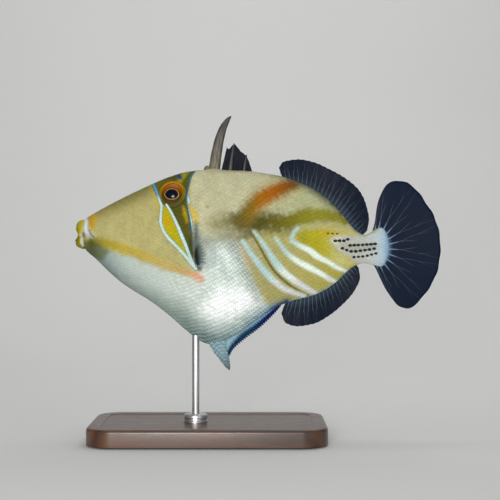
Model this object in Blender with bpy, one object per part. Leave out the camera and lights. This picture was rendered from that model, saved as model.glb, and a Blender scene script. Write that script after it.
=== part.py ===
"""A life-size picasso triggerfish, 200 mm long, on a plain display stand.

The fish swims towards -X with its back up, and its mid-plane is Y = 0. The origin lies under the
middle of its length, on the surface that the stand rests on. Numbers are in millimetres, and
every mesh is scaled to metres as it is made. The body is one loft, parted by thin cuts into the
pieces that a person would name. Fins, spines and rod run into the body and are cut back to leave
a small gap.
"""

import math

import bmesh
import bpy
import numpy as np
from mathutils import Matrix, Vector

MM = 0.001
GAP = 0.3

# Driving dimensions of the fish
TOTAL_LENGTH = 200.0
SNOUT_X = -TOTAL_LENGTH / 2
BACK_LINE = (
    (-94.6, 120.8), (-88.7, 124.3), (-75.5, 131.4), (-62.4, 137.7), (-49.2, 143.4), (-39.4, 146.3),
    (-29.5, 147.5), (-16.4, 147.3), (-3.2, 146.7), (6.6, 145.4), (16.5, 142.9), (26.3, 139.2),
    (36.2, 133.4), (42.8, 127.3), (49.3, 119.4), (53.7, 114.3), (58.5, 112.0), (63.2, 114.4), (67.0, 116.0),
)
BELLY_LINE = (
    (-94.6, 103.2), (-88.7, 98.2), (-82.1, 91.7), (-75.5, 85.9), (-68.9, 81.3), (-59.1, 75.3),
    (-49.2, 67.8), (-39.4, 59.3), (-29.5, 52.4), (-22.9, 50.9), (-16.4, 53.4), (-3.2, 62.4),
    (9.9, 71.6), (18.0, 75.0), (29.6, 78.0), (36.2, 80.9), (42.8, 85.3), (47.7, 90.2),
    (52.6, 94.2), (58.0, 95.8), (62.4, 95.0), (67.0, 94.0),
)
HALF_WIDTH = (
    (-94.6, 6.0), (-88.7, 6.6), (-75.5, 8.0), (-62.4, 9.9), (-46.2, 12.6), (-33.0, 14.3),
    (-20.0, 15.0), (-6.0, 14.6), (10.0, 12.8), (22.0, 10.6), (34.0, 8.0), (44.0, 5.8),
    (52.0, 4.4), (59.0, 3.5), (67.0, 2.4),
)
WIDEST_HEIGHT = (
    (-94.6, 112.0), (-75.0, 109.0), (-50.0, 106.0), (-20.0, 104.0), (10.0, 107.0), (40.0, 107.0), (67.0, 105.0),
)
BACK_ROUNDNESS = 2.0
BELLY_ROUNDNESS = (
    (-94.6, 2.0), (-70.0, 1.7), (-45.0, 1.4), (-20.0, 1.25), (5.0, 1.3), (25.0, 1.5), (45.0, 1.9), (67.0, 2.0),
)
TAIL_ROOT_LENGTH = 5.0
TAIL_ROOT_ANGLES = (30, 55, 75)
STATION_STEP = 4.0
HALF_RING_POINTS = 15
BEND_LENGTH = 9.0  # how much length one radian of turn counts for, when points are shared out round a section

# The mouth, whose lips are arcs about the centres given
UPPER_LIP = {"x": -96.2, "z": 116.4, "radius": 3.5}
LOWER_LIP = {"x": -97.1, "z": 107.2, "radius": 2.9}
LIP_CORNER = {"x": -96.2, "y": 4.6, "radius": 1.7}
LIP_ARC = (math.radians(-88), math.radians(72))
LIP_ARC_STEPS = 7
MOUTH_HEIGHT = 111.6
MOUTH_OPENING = {"x": -94.4, "half_height": 1.25, "half_width": 2.8}
THROAT = {"x": -92.6, "half_height": 0.6, "half_width": 1.6}

# Thin cuts across the body, each given by where it meets the heights CUT_BOTTOM and CUT_TOP
CUT_BOTTOM, CUT_TOP = 30.0, 165.0
LIP_CUT = (-94.6, -94.6)
CHEEK_CUT = (-66.0, -59.0)
GILL_CUT = (-38.0, -32.5)
VENT_CUT = (15.0, 12.0)
STALK_CUT = (46.0, 49.0)

EYE = {"x": -46.2, "z": 133.6, "y": 6.4, "radius": 6.5, "half_depth": 4.4}
EYE_TILT, EYE_TURN = math.radians(18), math.radians(6)
EYE_MOUND = {"radius": 8.6, "half_depth": 3.3}

# Fin outlines in the mid-plane: roots lie inside the body, and edges are the free margins
DORSAL_ROOT = ((14.0, 140.5), (27.0, 134.0), (40.0, 124.5), (49.5, 114.5), (55.5, 109.5))
DORSAL_EDGE = (
    (11.6, 148.6), (13.9, 151.8), (22.5, 153.2), (30.7, 151.6), (37.6, 148.5), (48.1, 142.6),
    (55.7, 136.0), (59.4, 128.4), (61.0, 120.4), (59.9, 114.2),
)
ANAL_ROOT = ((16.0, 77.5), (28.0, 80.5), (40.0, 86.5), (52.5, 97.0))
ANAL_EDGE = (
    (12.9, 68.5), (15.0, 63.6), (21.5, 61.6), (30.2, 62.8), (38.6, 67.0), (47.0, 74.0),
    (53.0, 81.4), (55.9, 88.6), (55.2, 93.4),
)
TAIL_ROOT = ((62.5, 112.5), (66.5, 109.5), (68.0, 105.0), (66.5, 100.5), (62.5, 97.0))
TAIL_EDGE = (
    (64.6, 119.0), (65.2, 126.6), (67.2, 133.4), (71.1, 139.6), (75.6, 141.7), (81.6, 140.6), (86.8, 136.8),
    (91.6, 130.2), (96.6, 121.8), (99.2, 113.3), (100.0, 105.1), (99.4, 96.6), (97.2, 88.6),
    (92.8, 80.6), (87.4, 74.2), (82.3, 70.9), (77.4, 72.6), (73.4, 77.0), (68.6, 84.6), (65.4, 92.0),
)
FAN_ROOT = ((0.0, 4.6), (0.0, 0.0), (0.0, -4.6))
FAN_EDGE = ((4.0, 6.4), (11.0, 9.6), (15.4, 7.4), (17.2, 2.0), (16.4, -4.0), (12.4, -8.2), (4.5, -6.6))
FAN_PLACE = {"x": -36.2, "z": 100.4}
FAN_OUTWARD, FAN_DROOP, FAN_LEAN = math.radians(33), math.radians(8), math.radians(-16)
FAN_SINK = 3.0
FIN_ROOT_THICKNESS, FIN_EDGE_THICKNESS = 1.8, 0.6
FLAP_EDGE = ((-15.6, 44.9), (-13.6, 48.5), (-6.3, 55.0), (1.5, 60.9), (6.4, 65.5), (10.6, 70.0), (12.4, 72.4))
FLAP_ROOT = ((-18.0, 51.5), (-13.0, 60.0), (-5.0, 65.0), (3.0, 71.0), (9.0, 75.5), (12.4, 77.0))
WEB_EDGE = (
    (-17.0, 159.6), (-16.0, 158.9), (-13.1, 161.4), (-9.4, 157.6), (-6.4, 155.0), (-4.6, 151.2), (-3.0, 146.0),
)
WEB_ROOT = ((-21.0, 143.0), (-16.0, 142.5), (-11.0, 142.5), (-6.0, 142.5), (-3.0, 142.5))

# Spines as a centre line with a half-width in the mid-plane and a half-thickness across it
FIRST_SPINE = (
    (-24.6, 141.5, 3.8, 2.4), (-23.6, 149.0, 3.2, 2.1), (-22.4, 157.0, 2.9, 1.8), (-20.7, 165.0, 2.5, 1.5),
    (-18.5, 171.0, 1.9, 1.1), (-16.3, 174.8, 1.2, 0.7), (-14.6, 176.7, 0.4, 0.4),
)
SECOND_SPINE = ((-15.6, 142.5, 1.4, 1.3), (-14.6, 152.0, 1.0, 0.9), (-13.1, 161.8, 0.4, 0.4))
THIRD_SPINE = ((-8.0, 142.5, 1.1, 1.0), (-7.2, 150.0, 0.8, 0.8), (-6.2, 155.6, 0.4, 0.4))
PELVIC_SPINE = (
    (-22.6, 55.0, 5.4, 2.8), (-20.9, 49.6, 4.4, 2.5), (-19.2, 46.2, 3.0, 2.0),
    (-17.6, 42.6, 1.9, 1.5), (-16.2, 39.4, 1.0, 0.9), (-15.5, 37.7, 0.4, 0.4),
)
SPINE_SIDES = 12
SPINE_KNUCKLE = {"x": -27.4, "z": 147.4, "radius": 2.3, "half_width": 1.9}

# The display stand
BASE_SIZE = (128.0, 72.0, 10.0)
BASE_CENTRE_X = -27.0
BASE_CORNER, BASE_ARRIS = 14.0, 1.6
ROD_X, ROD_RADIUS, ROD_TOP = -34.0, 2.0, 64.0
COLLAR_RADIUS, COLLAR_HEIGHT, COLLAR_CHAMFER = 6.5, 4.0, 1.5
COLLAR_SIDES = 24

# Colour, roughness and metallic value of each material
MATERIALS = {
    "skin": ((0.62, 0.56, 0.34), 0.45, 0.0),
    "lip": ((0.56, 0.50, 0.10), 0.45, 0.0),
    "eye": ((0.30, 0.14, 0.02), 0.15, 0.0),
    "fin": ((0.42, 0.50, 0.60), 0.35, 0.0),
    "spine": ((0.26, 0.24, 0.20), 0.5, 0.0),
    "stand_wood": ((0.05, 0.03, 0.02), 0.35, 0.0),
    "stand_metal": ((0.62, 0.60, 0.56), 0.3, 1.0),
}


def slopes(xs, ys):
    """Slopes of a curve through the points that overshoots none of them."""
    steps = np.diff(ys) / np.diff(xs)
    inner = np.where(steps[:-1] * steps[1:] > 0, 2 * steps[:-1] * steps[1:], 0.0)
    inner = inner / np.where(inner != 0, steps[:-1] + steps[1:], 1.0)
    return np.concatenate([steps[:1], inner, steps[-1:]])


def smooth(points, at):
    """Values at the places `at` of the smooth curve through (place, value) points."""
    xs, ys = np.array(points, float).T
    at = np.clip(np.asarray(at, float), xs[0], xs[-1])
    i = np.clip(np.searchsorted(xs, at, side="right") - 1, 0, len(xs) - 2)
    span = xs[i + 1] - xs[i]
    t = (at - xs[i]) / span
    m = slopes(xs, ys)
    hermite = ys[i] * (1 + 2 * t) * (1 - t) ** 2 + ys[i + 1] * t * t * (3 - 2 * t)
    return hermite + span * t * (1 - t) * (m[i] * (1 - t) - m[i + 1] * t)


def trace(points, count):
    """`count` points spaced evenly along the smooth curve through the given points, of any dimension."""
    points = np.array(points, float)
    along = np.concatenate([[0.0], np.cumsum(np.linalg.norm(np.diff(points, axis=0), axis=1))])
    at = np.linspace(0.0, along[-1], count)
    return np.stack([smooth(list(zip(along, column)), at) for column in points.T], axis=1)


def half_ring(top, bottom, side, back_power, belly_power):
    """Points down the +Y side of one section: from its top (x, z), by its side (x, y, z), to its bottom (x, z)."""
    quarter = np.linspace(0.0, math.pi / 2, 24)
    sweep = [(top, back_power, quarter), (bottom, belly_power, quarter[::-1][1:])]
    halves = []
    for (end_x, end_z), power, angles in sweep:
        rise = np.cos(angles) ** (2 / power)
        x = side[0] + (end_x - side[0]) * np.cos(angles) ** 2
        y = side[1] * np.sin(angles) ** (2 / power)
        halves.append(np.stack([x, y, side[2] + (end_z - side[2]) * rise], axis=1))
    curve = np.concatenate(halves)
    steps = np.diff(curve, axis=0)
    heading = np.unwrap(np.arctan2(steps[:, 1], -steps[:, 2]))
    turning = np.gradient(heading) * min(1.0, (top[1] - bottom[1]) / BEND_LENGTH / 4)
    along = np.concatenate([[0.0], np.cumsum(np.linalg.norm(steps, axis=1) + BEND_LENGTH * np.abs(turning))])
    at = np.linspace(0.0, along[-1], HALF_RING_POINTS)
    return np.stack([np.interp(at, along, column) for column in curve.T], axis=1)


def full_ring(half):
    """The half ring with its mirror image, as one closed ring."""
    return np.concatenate([half, half[-2:0:-1] * (1, -1, 1)])


def mouth_rings():
    """Rings from the throat out round the lips, which are arcs, to just before the snout."""
    rings = []
    for oval in (THROAT, MOUTH_OPENING):
        top = (oval["x"], MOUTH_HEIGHT + oval["half_height"])
        bottom = (oval["x"], MOUTH_HEIGHT - oval["half_height"])
        rings.append(half_ring(top, bottom, (oval["x"], oval["half_width"], MOUTH_HEIGHT), 2.0, 2.0))
    for angle in np.linspace(*LIP_ARC, LIP_ARC_STEPS):
        forward, outward = math.cos(angle), math.sin(angle)
        upper, lower, side = UPPER_LIP["radius"], LOWER_LIP["radius"], LIP_CORNER["radius"]
        top = (UPPER_LIP["x"] - upper * forward, UPPER_LIP["z"] + upper * outward)
        bottom = (LOWER_LIP["x"] - lower * forward, LOWER_LIP["z"] - lower * outward)
        corner = (LIP_CORNER["x"] - side * forward, LIP_CORNER["y"] + side * outward, MOUTH_HEIGHT)
        rings.append(half_ring(top, bottom, corner, 2.0, 2.0))
    return rings


def body_ring(x):
    """The upright section of head, trunk or tail stalk at x."""
    side = (x, float(smooth(HALF_WIDTH, x)), float(smooth(WIDEST_HEIGHT, x)))
    top, bottom = (x, float(smooth(BACK_LINE, x))), (x, float(smooth(BELLY_LINE, x)))
    return half_ring(top, bottom, side, BACK_ROUNDNESS, float(smooth(BELLY_ROUNDNESS, x)))


def tail_root_rings():
    """Rings that round off the fleshy root of the tail fin."""
    start = body_ring(BACK_LINE[-1][0])
    middle = (start[0, 2] + start[-1, 2]) / 2
    rings = []
    for angle in np.radians(TAIL_ROOT_ANGLES):
        ring = start.copy()
        ring[:, 0] += TAIL_ROOT_LENGTH * math.sin(angle)
        ring[:, 1] *= math.cos(angle)
        ring[:, 2] = middle + (ring[:, 2] - middle) * math.cos(angle)
        rings.append(ring)
    return rings


def loft(rings):
    """A closed mesh through rings of equal length, with each end closed by a fan."""
    mesh = bmesh.new()
    rows = [[mesh.verts.new(Vector(p) * MM) for p in ring] for ring in rings]
    for near, far in zip(rows, rows[1:]):
        for i, vert in enumerate(near):
            j = (i + 1) % len(near)
            mesh.faces.new((vert, near[j], far[j], far[i]))
    for row in (rows[0], rows[-1]):
        hub = mesh.verts.new(sum((v.co for v in row), Vector()) / len(row))
        for i, vert in enumerate(row):
            mesh.faces.new((vert, row[(i + 1) % len(row)], hub))
    bmesh.ops.recalc_face_normals(mesh, faces=mesh.faces)
    return mesh


def fin_shell(root, edge, columns, place=Matrix.Identity(4), wave=0.0, rows=4):
    """A fin as a thin closed shell that tapers from root to edge, with a slight wave at its margin.

    Outline points are (x, z) in the fin's own plane, and `place` puts that plane in the fish.
    """
    roots, edges = trace(root, columns), trace(edge, columns)
    rings = []
    for u, (start, end) in enumerate(zip(roots, edges)):
        left, right = [], []
        for v in np.linspace(0.0, 1.0, rows):
            x, z = start + (end - start) * v
            half = (FIN_ROOT_THICKNESS + (FIN_EDGE_THICKNESS - FIN_ROOT_THICKNESS) * v) / 2
            middle = wave * v * v * math.sin(3 * math.pi * u / (columns - 1))
            left.append(place @ Vector((x, middle + half, z)))
            right.append(place @ Vector((x, middle - half, z)))
        rings.append(left + right[::-1])
    return loft(rings)


def spike(stations):
    """A tapering spine through (x, z, half-width, half-thickness) stations in the mid-plane."""
    stations = trace(stations, 3 * len(stations))
    centres = stations[:, :2]
    heading = np.gradient(centres, axis=0)
    heading /= np.linalg.norm(heading, axis=1)[:, None]
    rings = []
    for (x, z), (run, rise), (wide, thick) in zip(centres, heading, stations[:, 2:]):
        turn = [2 * math.pi * k / SPINE_SIDES for k in range(SPINE_SIDES)]
        rings.append([
            (x + rise * wide * math.cos(a), thick * math.sin(a), z - run * wide * math.cos(a)) for a in turn
        ])
    return loft(rings)


def ball(centre, radius, half_width, segments=18):
    """A ball that is round seen from the side, and flattened across the fish."""
    mesh = bmesh.new()
    bmesh.ops.create_uvsphere(mesh, u_segments=segments, v_segments=segments * 2 // 3, radius=1.0)
    size = Matrix.Diagonal((radius * MM, radius * MM, half_width * MM, 1.0))
    mesh.transform(Matrix.Translation(Vector(centre) * MM) @ Matrix.Rotation(math.pi / 2, 4, "X") @ size)
    return mesh


def material(name):
    """The Principled material of that name, made once."""
    if name in bpy.data.materials:
        return bpy.data.materials[name]
    colour, roughness, metallic = MATERIALS[name]
    made = bpy.data.materials.new(name)
    made.use_nodes = True
    shader = made.node_tree.nodes["Principled BSDF"]
    shader.inputs["Base Color"].default_value = (*colour, 1.0)
    shader.inputs["Roughness"].default_value = roughness
    shader.inputs["Metallic"].default_value = metallic
    return made


def add(name, mesh, collection, material_name=None):
    """Puts a bmesh in the scene as a smooth-shaded object."""
    data = bpy.data.meshes.new(name)
    mesh.to_mesh(data)
    mesh.free()
    data.shade_smooth()
    data.set_sharp_from_angle(angle=math.radians(40))
    made = bpy.data.objects.new(name, data)
    collection.objects.link(made)
    if material_name:
        data.materials.append(material(material_name))
    return made


def add_cutter(name, mesh, collection):
    """A helper object that shapes others and isn't part of the fish."""
    made = add(name, mesh, collection)
    made.hide_render = True
    made.display_type = "WIRE"
    return made


def boolean(target, other, operation):
    """Cuts, joins or limits target by the other object."""
    modifier = target.modifiers.new(f"{operation.lower()} {other.name}", "BOOLEAN")
    modifier.object = other
    modifier.operation = operation
    modifier.solver = "EXACT"


def swell(obj, distance):
    """Grows a cutter outwards, to leave a gap around the piece that it copies."""
    modifier = obj.modifiers.new("gap", "DISPLACE")
    modifier.strength = distance * MM
    modifier.mid_level = 0.0


def slab(start, end, low=CUT_BOTTOM, high=CUT_TOP, half_depth=30.0):
    """The block between two cuts, less half a gap on every side that it shares."""
    mesh = bmesh.new()
    bmesh.ops.create_cube(mesh, size=1.0)
    share = [(z - CUT_BOTTOM) / (CUT_TOP - CUT_BOTTOM) for z in (low, high)]
    for vert in mesh.verts:
        upper = vert.co.z > 0
        cut, shift = (start, GAP / 2) if vert.co.x < 0 else (end, -GAP / 2)
        x = cut[0] + (cut[1] - cut[0]) * share[upper] + shift
        vert.co = Vector((x, math.copysign(half_depth, vert.co.y), high if upper else low)) * MM
    return mesh


def body_mesh():
    """The whole body as one loft, from the throat round the lips to the root of the tail fin."""
    first, last = BACK_LINE[0][0], BACK_LINE[-1][0]
    stations = np.linspace(first, last, round((last - first) / STATION_STEP))
    halves = [*mouth_rings(), *(body_ring(float(x)) for x in stations), *tail_root_rings()]
    return loft([full_ring(half) for half in halves])


def build_body(fish, helpers):
    """Lips, snout, head, two lengths of trunk and the tail stalk."""
    front, rear = (SNOUT_X - 5, SNOUT_X - 5), (TOTAL_LENGTH / 2, TOTAL_LENGTH / 2)
    regions = {
        "lip_upper": ("lip", slab(front, LIP_CUT, low=MOUTH_HEIGHT + GAP / 2)),
        "lip_lower": ("lip", slab(front, LIP_CUT, high=MOUTH_HEIGHT - GAP / 2)),
        "snout": ("skin", slab(LIP_CUT, CHEEK_CUT)),
        "head": ("skin", slab(CHEEK_CUT, GILL_CUT)),
        "trunk_front": ("skin", slab(GILL_CUT, VENT_CUT)),
        "trunk_rear": ("skin", slab(VENT_CUT, STALK_CUT)),
        "tail_stalk": ("skin", slab(STALK_CUT, rear)),
    }
    pieces = {}
    for name, (finish, region) in regions.items():
        pieces[name] = add(name, body_mesh(), fish, finish)
        boolean(pieces[name], add_cutter(f"region_{name}", region, helpers), "INTERSECT")
    return pieces


def eye_mesh(side, radius, half_depth):
    """A flattened ball at the eye on the side +1 or -1, facing outwards, a little up and a little forward."""
    mesh = ball((0.0, 0.0, 0.0), radius, half_depth)
    turn = Matrix.Rotation(side * EYE_TURN, 4, "Z") @ Matrix.Rotation(side * EYE_TILT, 4, "X")
    mesh.transform(Matrix.Translation(Vector((EYE["x"], side * EYE["y"], EYE["z"])) * MM) @ turn)
    return mesh


def build_eyes(fish, helpers, head):
    """Both eyeballs, the low mounds round them, and the sockets that hold them."""
    for name, side in (("left", -1), ("right", 1)):
        mound = eye_mesh(side, EYE_MOUND["radius"], EYE_MOUND["half_depth"])
        boolean(head, add_cutter(f"mound_{name}", mound, helpers), "UNION")
        socket = eye_mesh(side, EYE["radius"] + GAP, EYE["half_depth"] + GAP)
        boolean(head, add_cutter(f"socket_{name}", socket, helpers), "DIFFERENCE")
        add(f"eye_{name}", eye_mesh(side, EYE["radius"], EYE["half_depth"]), fish, "eye")


def fan_place(side):
    """Where a pectoral fin's plane lies: at the gill opening, leaning back and held off the flank."""
    ring = body_ring(FAN_PLACE["x"])
    flank = float(np.interp(-FAN_PLACE["z"], -ring[:, 2], ring[:, 1]))
    origin = Vector((FAN_PLACE["x"], side * (flank - FAN_SINK), FAN_PLACE["z"]))
    turn = Matrix.Rotation(side * FAN_OUTWARD, 4, "Z") @ Matrix.Rotation(FAN_DROOP, 4, "Y")
    return Matrix.Translation(origin) @ turn @ Matrix.Rotation(FAN_LEAN, 4, "Y")


def build_fins(fish, core):
    """Second dorsal, anal, tail and both pectoral fins, cut back to the body."""
    fins = {
        "dorsal_fin": fin_shell(DORSAL_ROOT, DORSAL_EDGE, 25, wave=1.2),
        "anal_fin": fin_shell(ANAL_ROOT, ANAL_EDGE, 23, wave=-1.2),
        "tail_fin": fin_shell(TAIL_ROOT, TAIL_EDGE, 33, wave=1.4),
        "pectoral_fin_left": fin_shell(FAN_ROOT, FAN_EDGE, 15, place=fan_place(-1)),
        "pectoral_fin_right": fin_shell(FAN_ROOT, FAN_EDGE, 15, place=fan_place(1)),
    }
    for name, mesh in fins.items():
        boolean(add(name, mesh, fish, "fin"), core, "DIFFERENCE")


def build_spines(fish, helpers, core):
    """The locking dorsal spine, the web with two small spines behind it, the pelvic spine and its flap."""
    first = add("dorsal_spine", spike(FIRST_SPINE), fish, "spine")
    centre = (SPINE_KNUCKLE["x"], 0.0, SPINE_KNUCKLE["z"])
    knuckle = ball(centre, SPINE_KNUCKLE["radius"], SPINE_KNUCKLE["half_width"], segments=12)
    boolean(first, add_cutter("knuckle", knuckle, helpers), "UNION")
    web = add("dorsal_web", fin_shell(WEB_ROOT, WEB_EDGE, 14), fish, "fin")
    for number, stations in (("second", SECOND_SPINE), ("third", THIRD_SPINE)):
        boolean(web, add_cutter(f"{number}_spine", spike(stations), helpers), "UNION")
    pelvic = add("pelvic_spine", spike(PELVIC_SPINE), fish, "skin")
    flap = add("ventral_flap", fin_shell(FLAP_ROOT, FLAP_EDGE, 17), fish, "fin")
    for name, stations, target in (("first", FIRST_SPINE, web), ("pelvic", PELVIC_SPINE, flap)):
        shape = add_cutter(f"room_{name}_spine", spike(stations), helpers)
        swell(shape, GAP)
        boolean(target, shape, "DIFFERENCE")
    for piece in (first, web, pelvic, flap):
        boolean(piece, core, "DIFFERENCE")


def base_mesh():
    """A flat plate with rounded corners and a softened upper edge."""
    mesh = bmesh.new()
    bmesh.ops.create_cube(mesh, size=1.0)
    length, width, height = BASE_SIZE
    for vert in mesh.verts:
        vert.co = Vector((
            BASE_CENTRE_X + vert.co.x * length, vert.co.y * width, (vert.co.z + 0.5) * height,
        )) * MM
    upright = [e for e in mesh.edges if abs(e.verts[0].co.z - e.verts[1].co.z) > height * MM / 2]
    bmesh.ops.bevel(mesh, geom=upright, offset=BASE_CORNER * MM, segments=6, profile=0.5, affect="EDGES")
    top = [e for e in mesh.edges if min(v.co.z for v in e.verts) > (height - 0.01) * MM]
    bmesh.ops.bevel(mesh, geom=top, offset=BASE_ARRIS * MM, segments=2, profile=0.5, affect="EDGES")
    return mesh


def build_stand(fish, core):
    """The plate, the rod that carries the fish at its belly, and the collar at the rod's foot."""
    add("stand_base", base_mesh(), fish, "stand_wood")
    foot = BASE_SIZE[2] + GAP
    rod = bmesh.new()
    place = Matrix.Translation(Vector((ROD_X, 0.0, (foot + ROD_TOP) / 2)) * MM)
    bmesh.ops.create_cone(
        rod, cap_ends=True, segments=20, radius1=ROD_RADIUS * MM, radius2=ROD_RADIUS * MM,
        depth=(ROD_TOP - foot) * MM, matrix=place,
    )
    boolean(add("stand_rod", rod, fish, "stand_metal"), core, "DIFFERENCE")
    inner, top = ROD_RADIUS + GAP, foot + COLLAR_HEIGHT
    profile = (
        (COLLAR_RADIUS - COLLAR_CHAMFER, top), (COLLAR_RADIUS, top - COLLAR_CHAMFER),
        (COLLAR_RADIUS, foot), (inner, foot), (inner, top),
    )
    turns = [2 * math.pi * k / COLLAR_SIDES for k in range(COLLAR_SIDES)]
    collar = bmesh.new()
    rows = [
        [collar.verts.new(Vector((ROD_X + r * math.cos(a), r * math.sin(a), z)) * MM) for r, z in profile]
        for a in turns
    ]
    for near, far in zip(rows, rows[1:] + rows[:1]):
        for i, vert in enumerate(near):
            j = (i + 1) % len(near)
            collar.faces.new((vert, near[j], far[j], far[i]))
    bmesh.ops.recalc_face_normals(collar, faces=collar.faces)
    add("stand_collar", collar, fish, "stand_metal")


def main():
    """Clears the scene and builds the fish and its stand."""
    for old in list(bpy.data.objects):
        bpy.data.objects.remove(old)
    fish = bpy.data.collections.new("picasso_triggerfish")
    helpers = bpy.data.collections.new("cutters")
    for collection in (fish, helpers):
        bpy.context.scene.collection.children.link(collection)
    core = add_cutter("core", body_mesh(), helpers)
    swell(core, GAP)
    pieces = build_body(fish, helpers)
    build_eyes(fish, helpers, pieces["head"])
    build_fins(fish, core)
    build_spines(fish, helpers, core)
    build_stand(fish, core)


main()
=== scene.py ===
"""The looks of a life-size picasso triggerfish model on a plain display stand.

Lengths are in millimetres until a mesh is made, and MM turns them into metres. The head points to -X, the
tail to +X and the fish's right flank to +Y. The floor is at z = 0.
"""

import logging
import math
from collections.abc import Callable, Sequence
from dataclasses import dataclass, field
from enum import Enum

import bmesh
import bpy
import numpy as np
from mathutils import Matrix, Vector
from mathutils.bvhtree import BVHTree


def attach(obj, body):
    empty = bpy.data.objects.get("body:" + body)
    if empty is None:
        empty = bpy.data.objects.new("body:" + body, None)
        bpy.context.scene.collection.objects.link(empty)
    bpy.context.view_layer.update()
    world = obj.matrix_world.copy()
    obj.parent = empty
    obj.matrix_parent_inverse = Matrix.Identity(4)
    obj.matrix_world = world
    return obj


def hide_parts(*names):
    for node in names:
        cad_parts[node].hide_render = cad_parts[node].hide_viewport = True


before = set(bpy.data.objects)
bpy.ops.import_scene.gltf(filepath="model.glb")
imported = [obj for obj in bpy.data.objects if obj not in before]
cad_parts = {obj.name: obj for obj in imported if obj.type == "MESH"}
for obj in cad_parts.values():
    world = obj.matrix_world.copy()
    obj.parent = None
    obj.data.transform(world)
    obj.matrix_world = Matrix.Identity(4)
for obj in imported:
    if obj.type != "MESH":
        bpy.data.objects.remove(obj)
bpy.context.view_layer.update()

Array = np.ndarray
Piece = bpy.types.Object
Material = bpy.types.Material
Socket = bpy.types.NodeSocket
Points = Sequence[Sequence[float]]
Pair = tuple[float, float]
Triple = tuple[float, float, float]
Colour = Triple

MM = 0.001
BODY = "root"
BAKE_MAP = "OFBake"
FLANK_ON_MAP = 236
LINE_REACH = 4.0
SHARP_EDGE = math.radians(30)
TINY = 1e-9
log = logging.getLogger("triggerfish")


class Slot(Enum):
    """Kinds of finish, one passed with each piece."""

    SKIN = "skin"
    EYE = "eye"
    FIN = "fin"
    SPINE = "spine"
    WOOD = "stand_wood"
    METAL = "stand_metal"


class Side(Enum):
    """The fish's two flanks, by the sign of their Y."""

    LEFT = -1
    RIGHT = 1


# Curves and numbers


def paint(red: float, green: float, blue: float) -> Array:
    """A linear colour from display values of 0 to 255."""
    value = np.array([red, green, blue]) / 255
    return np.where(value <= 0.04045, value / 12.92, ((value + 0.055) / 1.055) ** 2.4)


def ease(low: float, high: float, value: Array) -> Array:
    """A smooth step from 0 at low to 1 at high, which may be the smaller one."""
    t = np.clip((value - low) / (high - low), 0, 1)
    return t * t * (3 - 2 * t)


def hump(value: Array, width: float) -> Array:
    """A bell of 1 at no distance, which falls away over a width."""
    return np.exp(-((value / width) ** 2))


def smooth(points: Points, at: Array | float) -> Array:
    """Values of a smooth curve through (place, value) points, which never overshoots them.

    Args:
        points: the pairs, with rising places.
        at: the places to read it at.

    Returns:
        One value for each place.
    """
    xs, ys = np.array(points, float).T
    at = np.clip(np.asarray(at, float), xs[0], xs[-1])
    steps = np.diff(ys) / np.diff(xs)
    inner = np.where(steps[:-1] * steps[1:] > 0, 2 * steps[:-1] * steps[1:], 0)
    inner = inner / np.where(inner != 0, steps[:-1] + steps[1:], 1)
    slope = np.concatenate([steps[:1], inner, steps[-1:]])
    i = np.clip(np.searchsorted(xs, at, side="right") - 1, 0, len(xs) - 2)
    span = xs[i + 1] - xs[i]
    t = (at - xs[i]) / span
    through = ys[i] * (1 + 2 * t) * (1 - t) ** 2 + ys[i + 1] * t * t * (3 - 2 * t)
    return through + span * t * (1 - t) * (slope[i] * (1 - t) - slope[i + 1] * t)


def running(steps: Array) -> Array:
    """The length so far at each point of a path, from its steps."""
    return np.concatenate([[0], np.cumsum(steps)])


def read_rows(at: Array, along: Array, rows: Array) -> Array:
    """Rows of a table read between its lines, where `along` gives each row's place."""
    return np.stack([np.interp(at, along, column) for column in rows.T], axis=-1)


def trace(points: Points, count: int) -> Array:
    """Evenly spaced points along the smooth curve through the given ones.

    Args:
        points: points of any dimension.
        count: how many to return.

    Returns:
        A (count, dimension) array.
    """
    points = np.array(points, float)
    along = running(np.linalg.norm(np.diff(points, axis=0), axis=1))
    at = np.linspace(0, along[-1], count)
    return np.stack([smooth(list(zip(along, column)), at) for column in points.T], axis=1)


def ripple(x: Array, z: Array, size: float, seed: int) -> Array:
    """A soft uneven pattern of about -1 to 1, made of crossed waves.

    Args:
        x, z: places in mm.
        size: the pattern's grain in mm.
        seed: which pattern it is.

    Returns:
        One value for each place.
    """
    draw = np.random.default_rng(seed)
    total = np.zeros(np.shape(x))
    for octave in range(7):
        heading, phase = draw.uniform(0, 2 * math.pi, 2)
        pace = 2 * math.pi / size * (0.6 + 0.22 * octave)
        total = total + np.sin(pace * (x * math.cos(heading) + z * math.sin(heading)) + phase)
    return total / 3.2


def smooth_max(a: Array, b: Array, blend: float) -> Array:
    """The larger of two heights, with a rounded change from one to the other."""
    return 0.5 * (a + b + np.sqrt((a - b) ** 2 + blend**2))


# Meshes


def deselect() -> None:
    """Leaves edit mode and selects nothing."""
    if bpy.context.object and bpy.context.object.mode != "OBJECT":
        bpy.ops.object.mode_set(mode="OBJECT")
    bpy.ops.object.select_all(action="DESELECT")


def pick(piece: Piece, *others: Piece) -> None:
    """Selects only these pieces, and makes the first one active.

    Args:
        piece: the active one.
        others: the rest.
    """
    deselect()
    for chosen in (piece, *others):
        chosen.select_set(True)
    bpy.context.view_layer.objects.active = piece


def edit(piece: Piece, chosen: Callable[[object], bool] | None = None, mode: str = "FACE") -> None:
    """Opens a piece in edit mode with some of it selected.

    Args:
        piece: the mesh object.
        chosen: says which faces (or edges) are selected, or None for all.
        mode: EDGE or FACE.
    """
    pick(piece)
    bpy.ops.object.mode_set(mode="EDIT")
    bpy.ops.mesh.select_mode(type=mode)
    bpy.ops.mesh.select_all(action="SELECT" if chosen is None else "DESELECT")
    if chosen is not None:
        leave_edit()
        for item in piece.data.edges if mode == "EDGE" else piece.data.polygons:
            item.select = bool(chosen(item))
        bpy.ops.object.mode_set(mode="EDIT")


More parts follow.
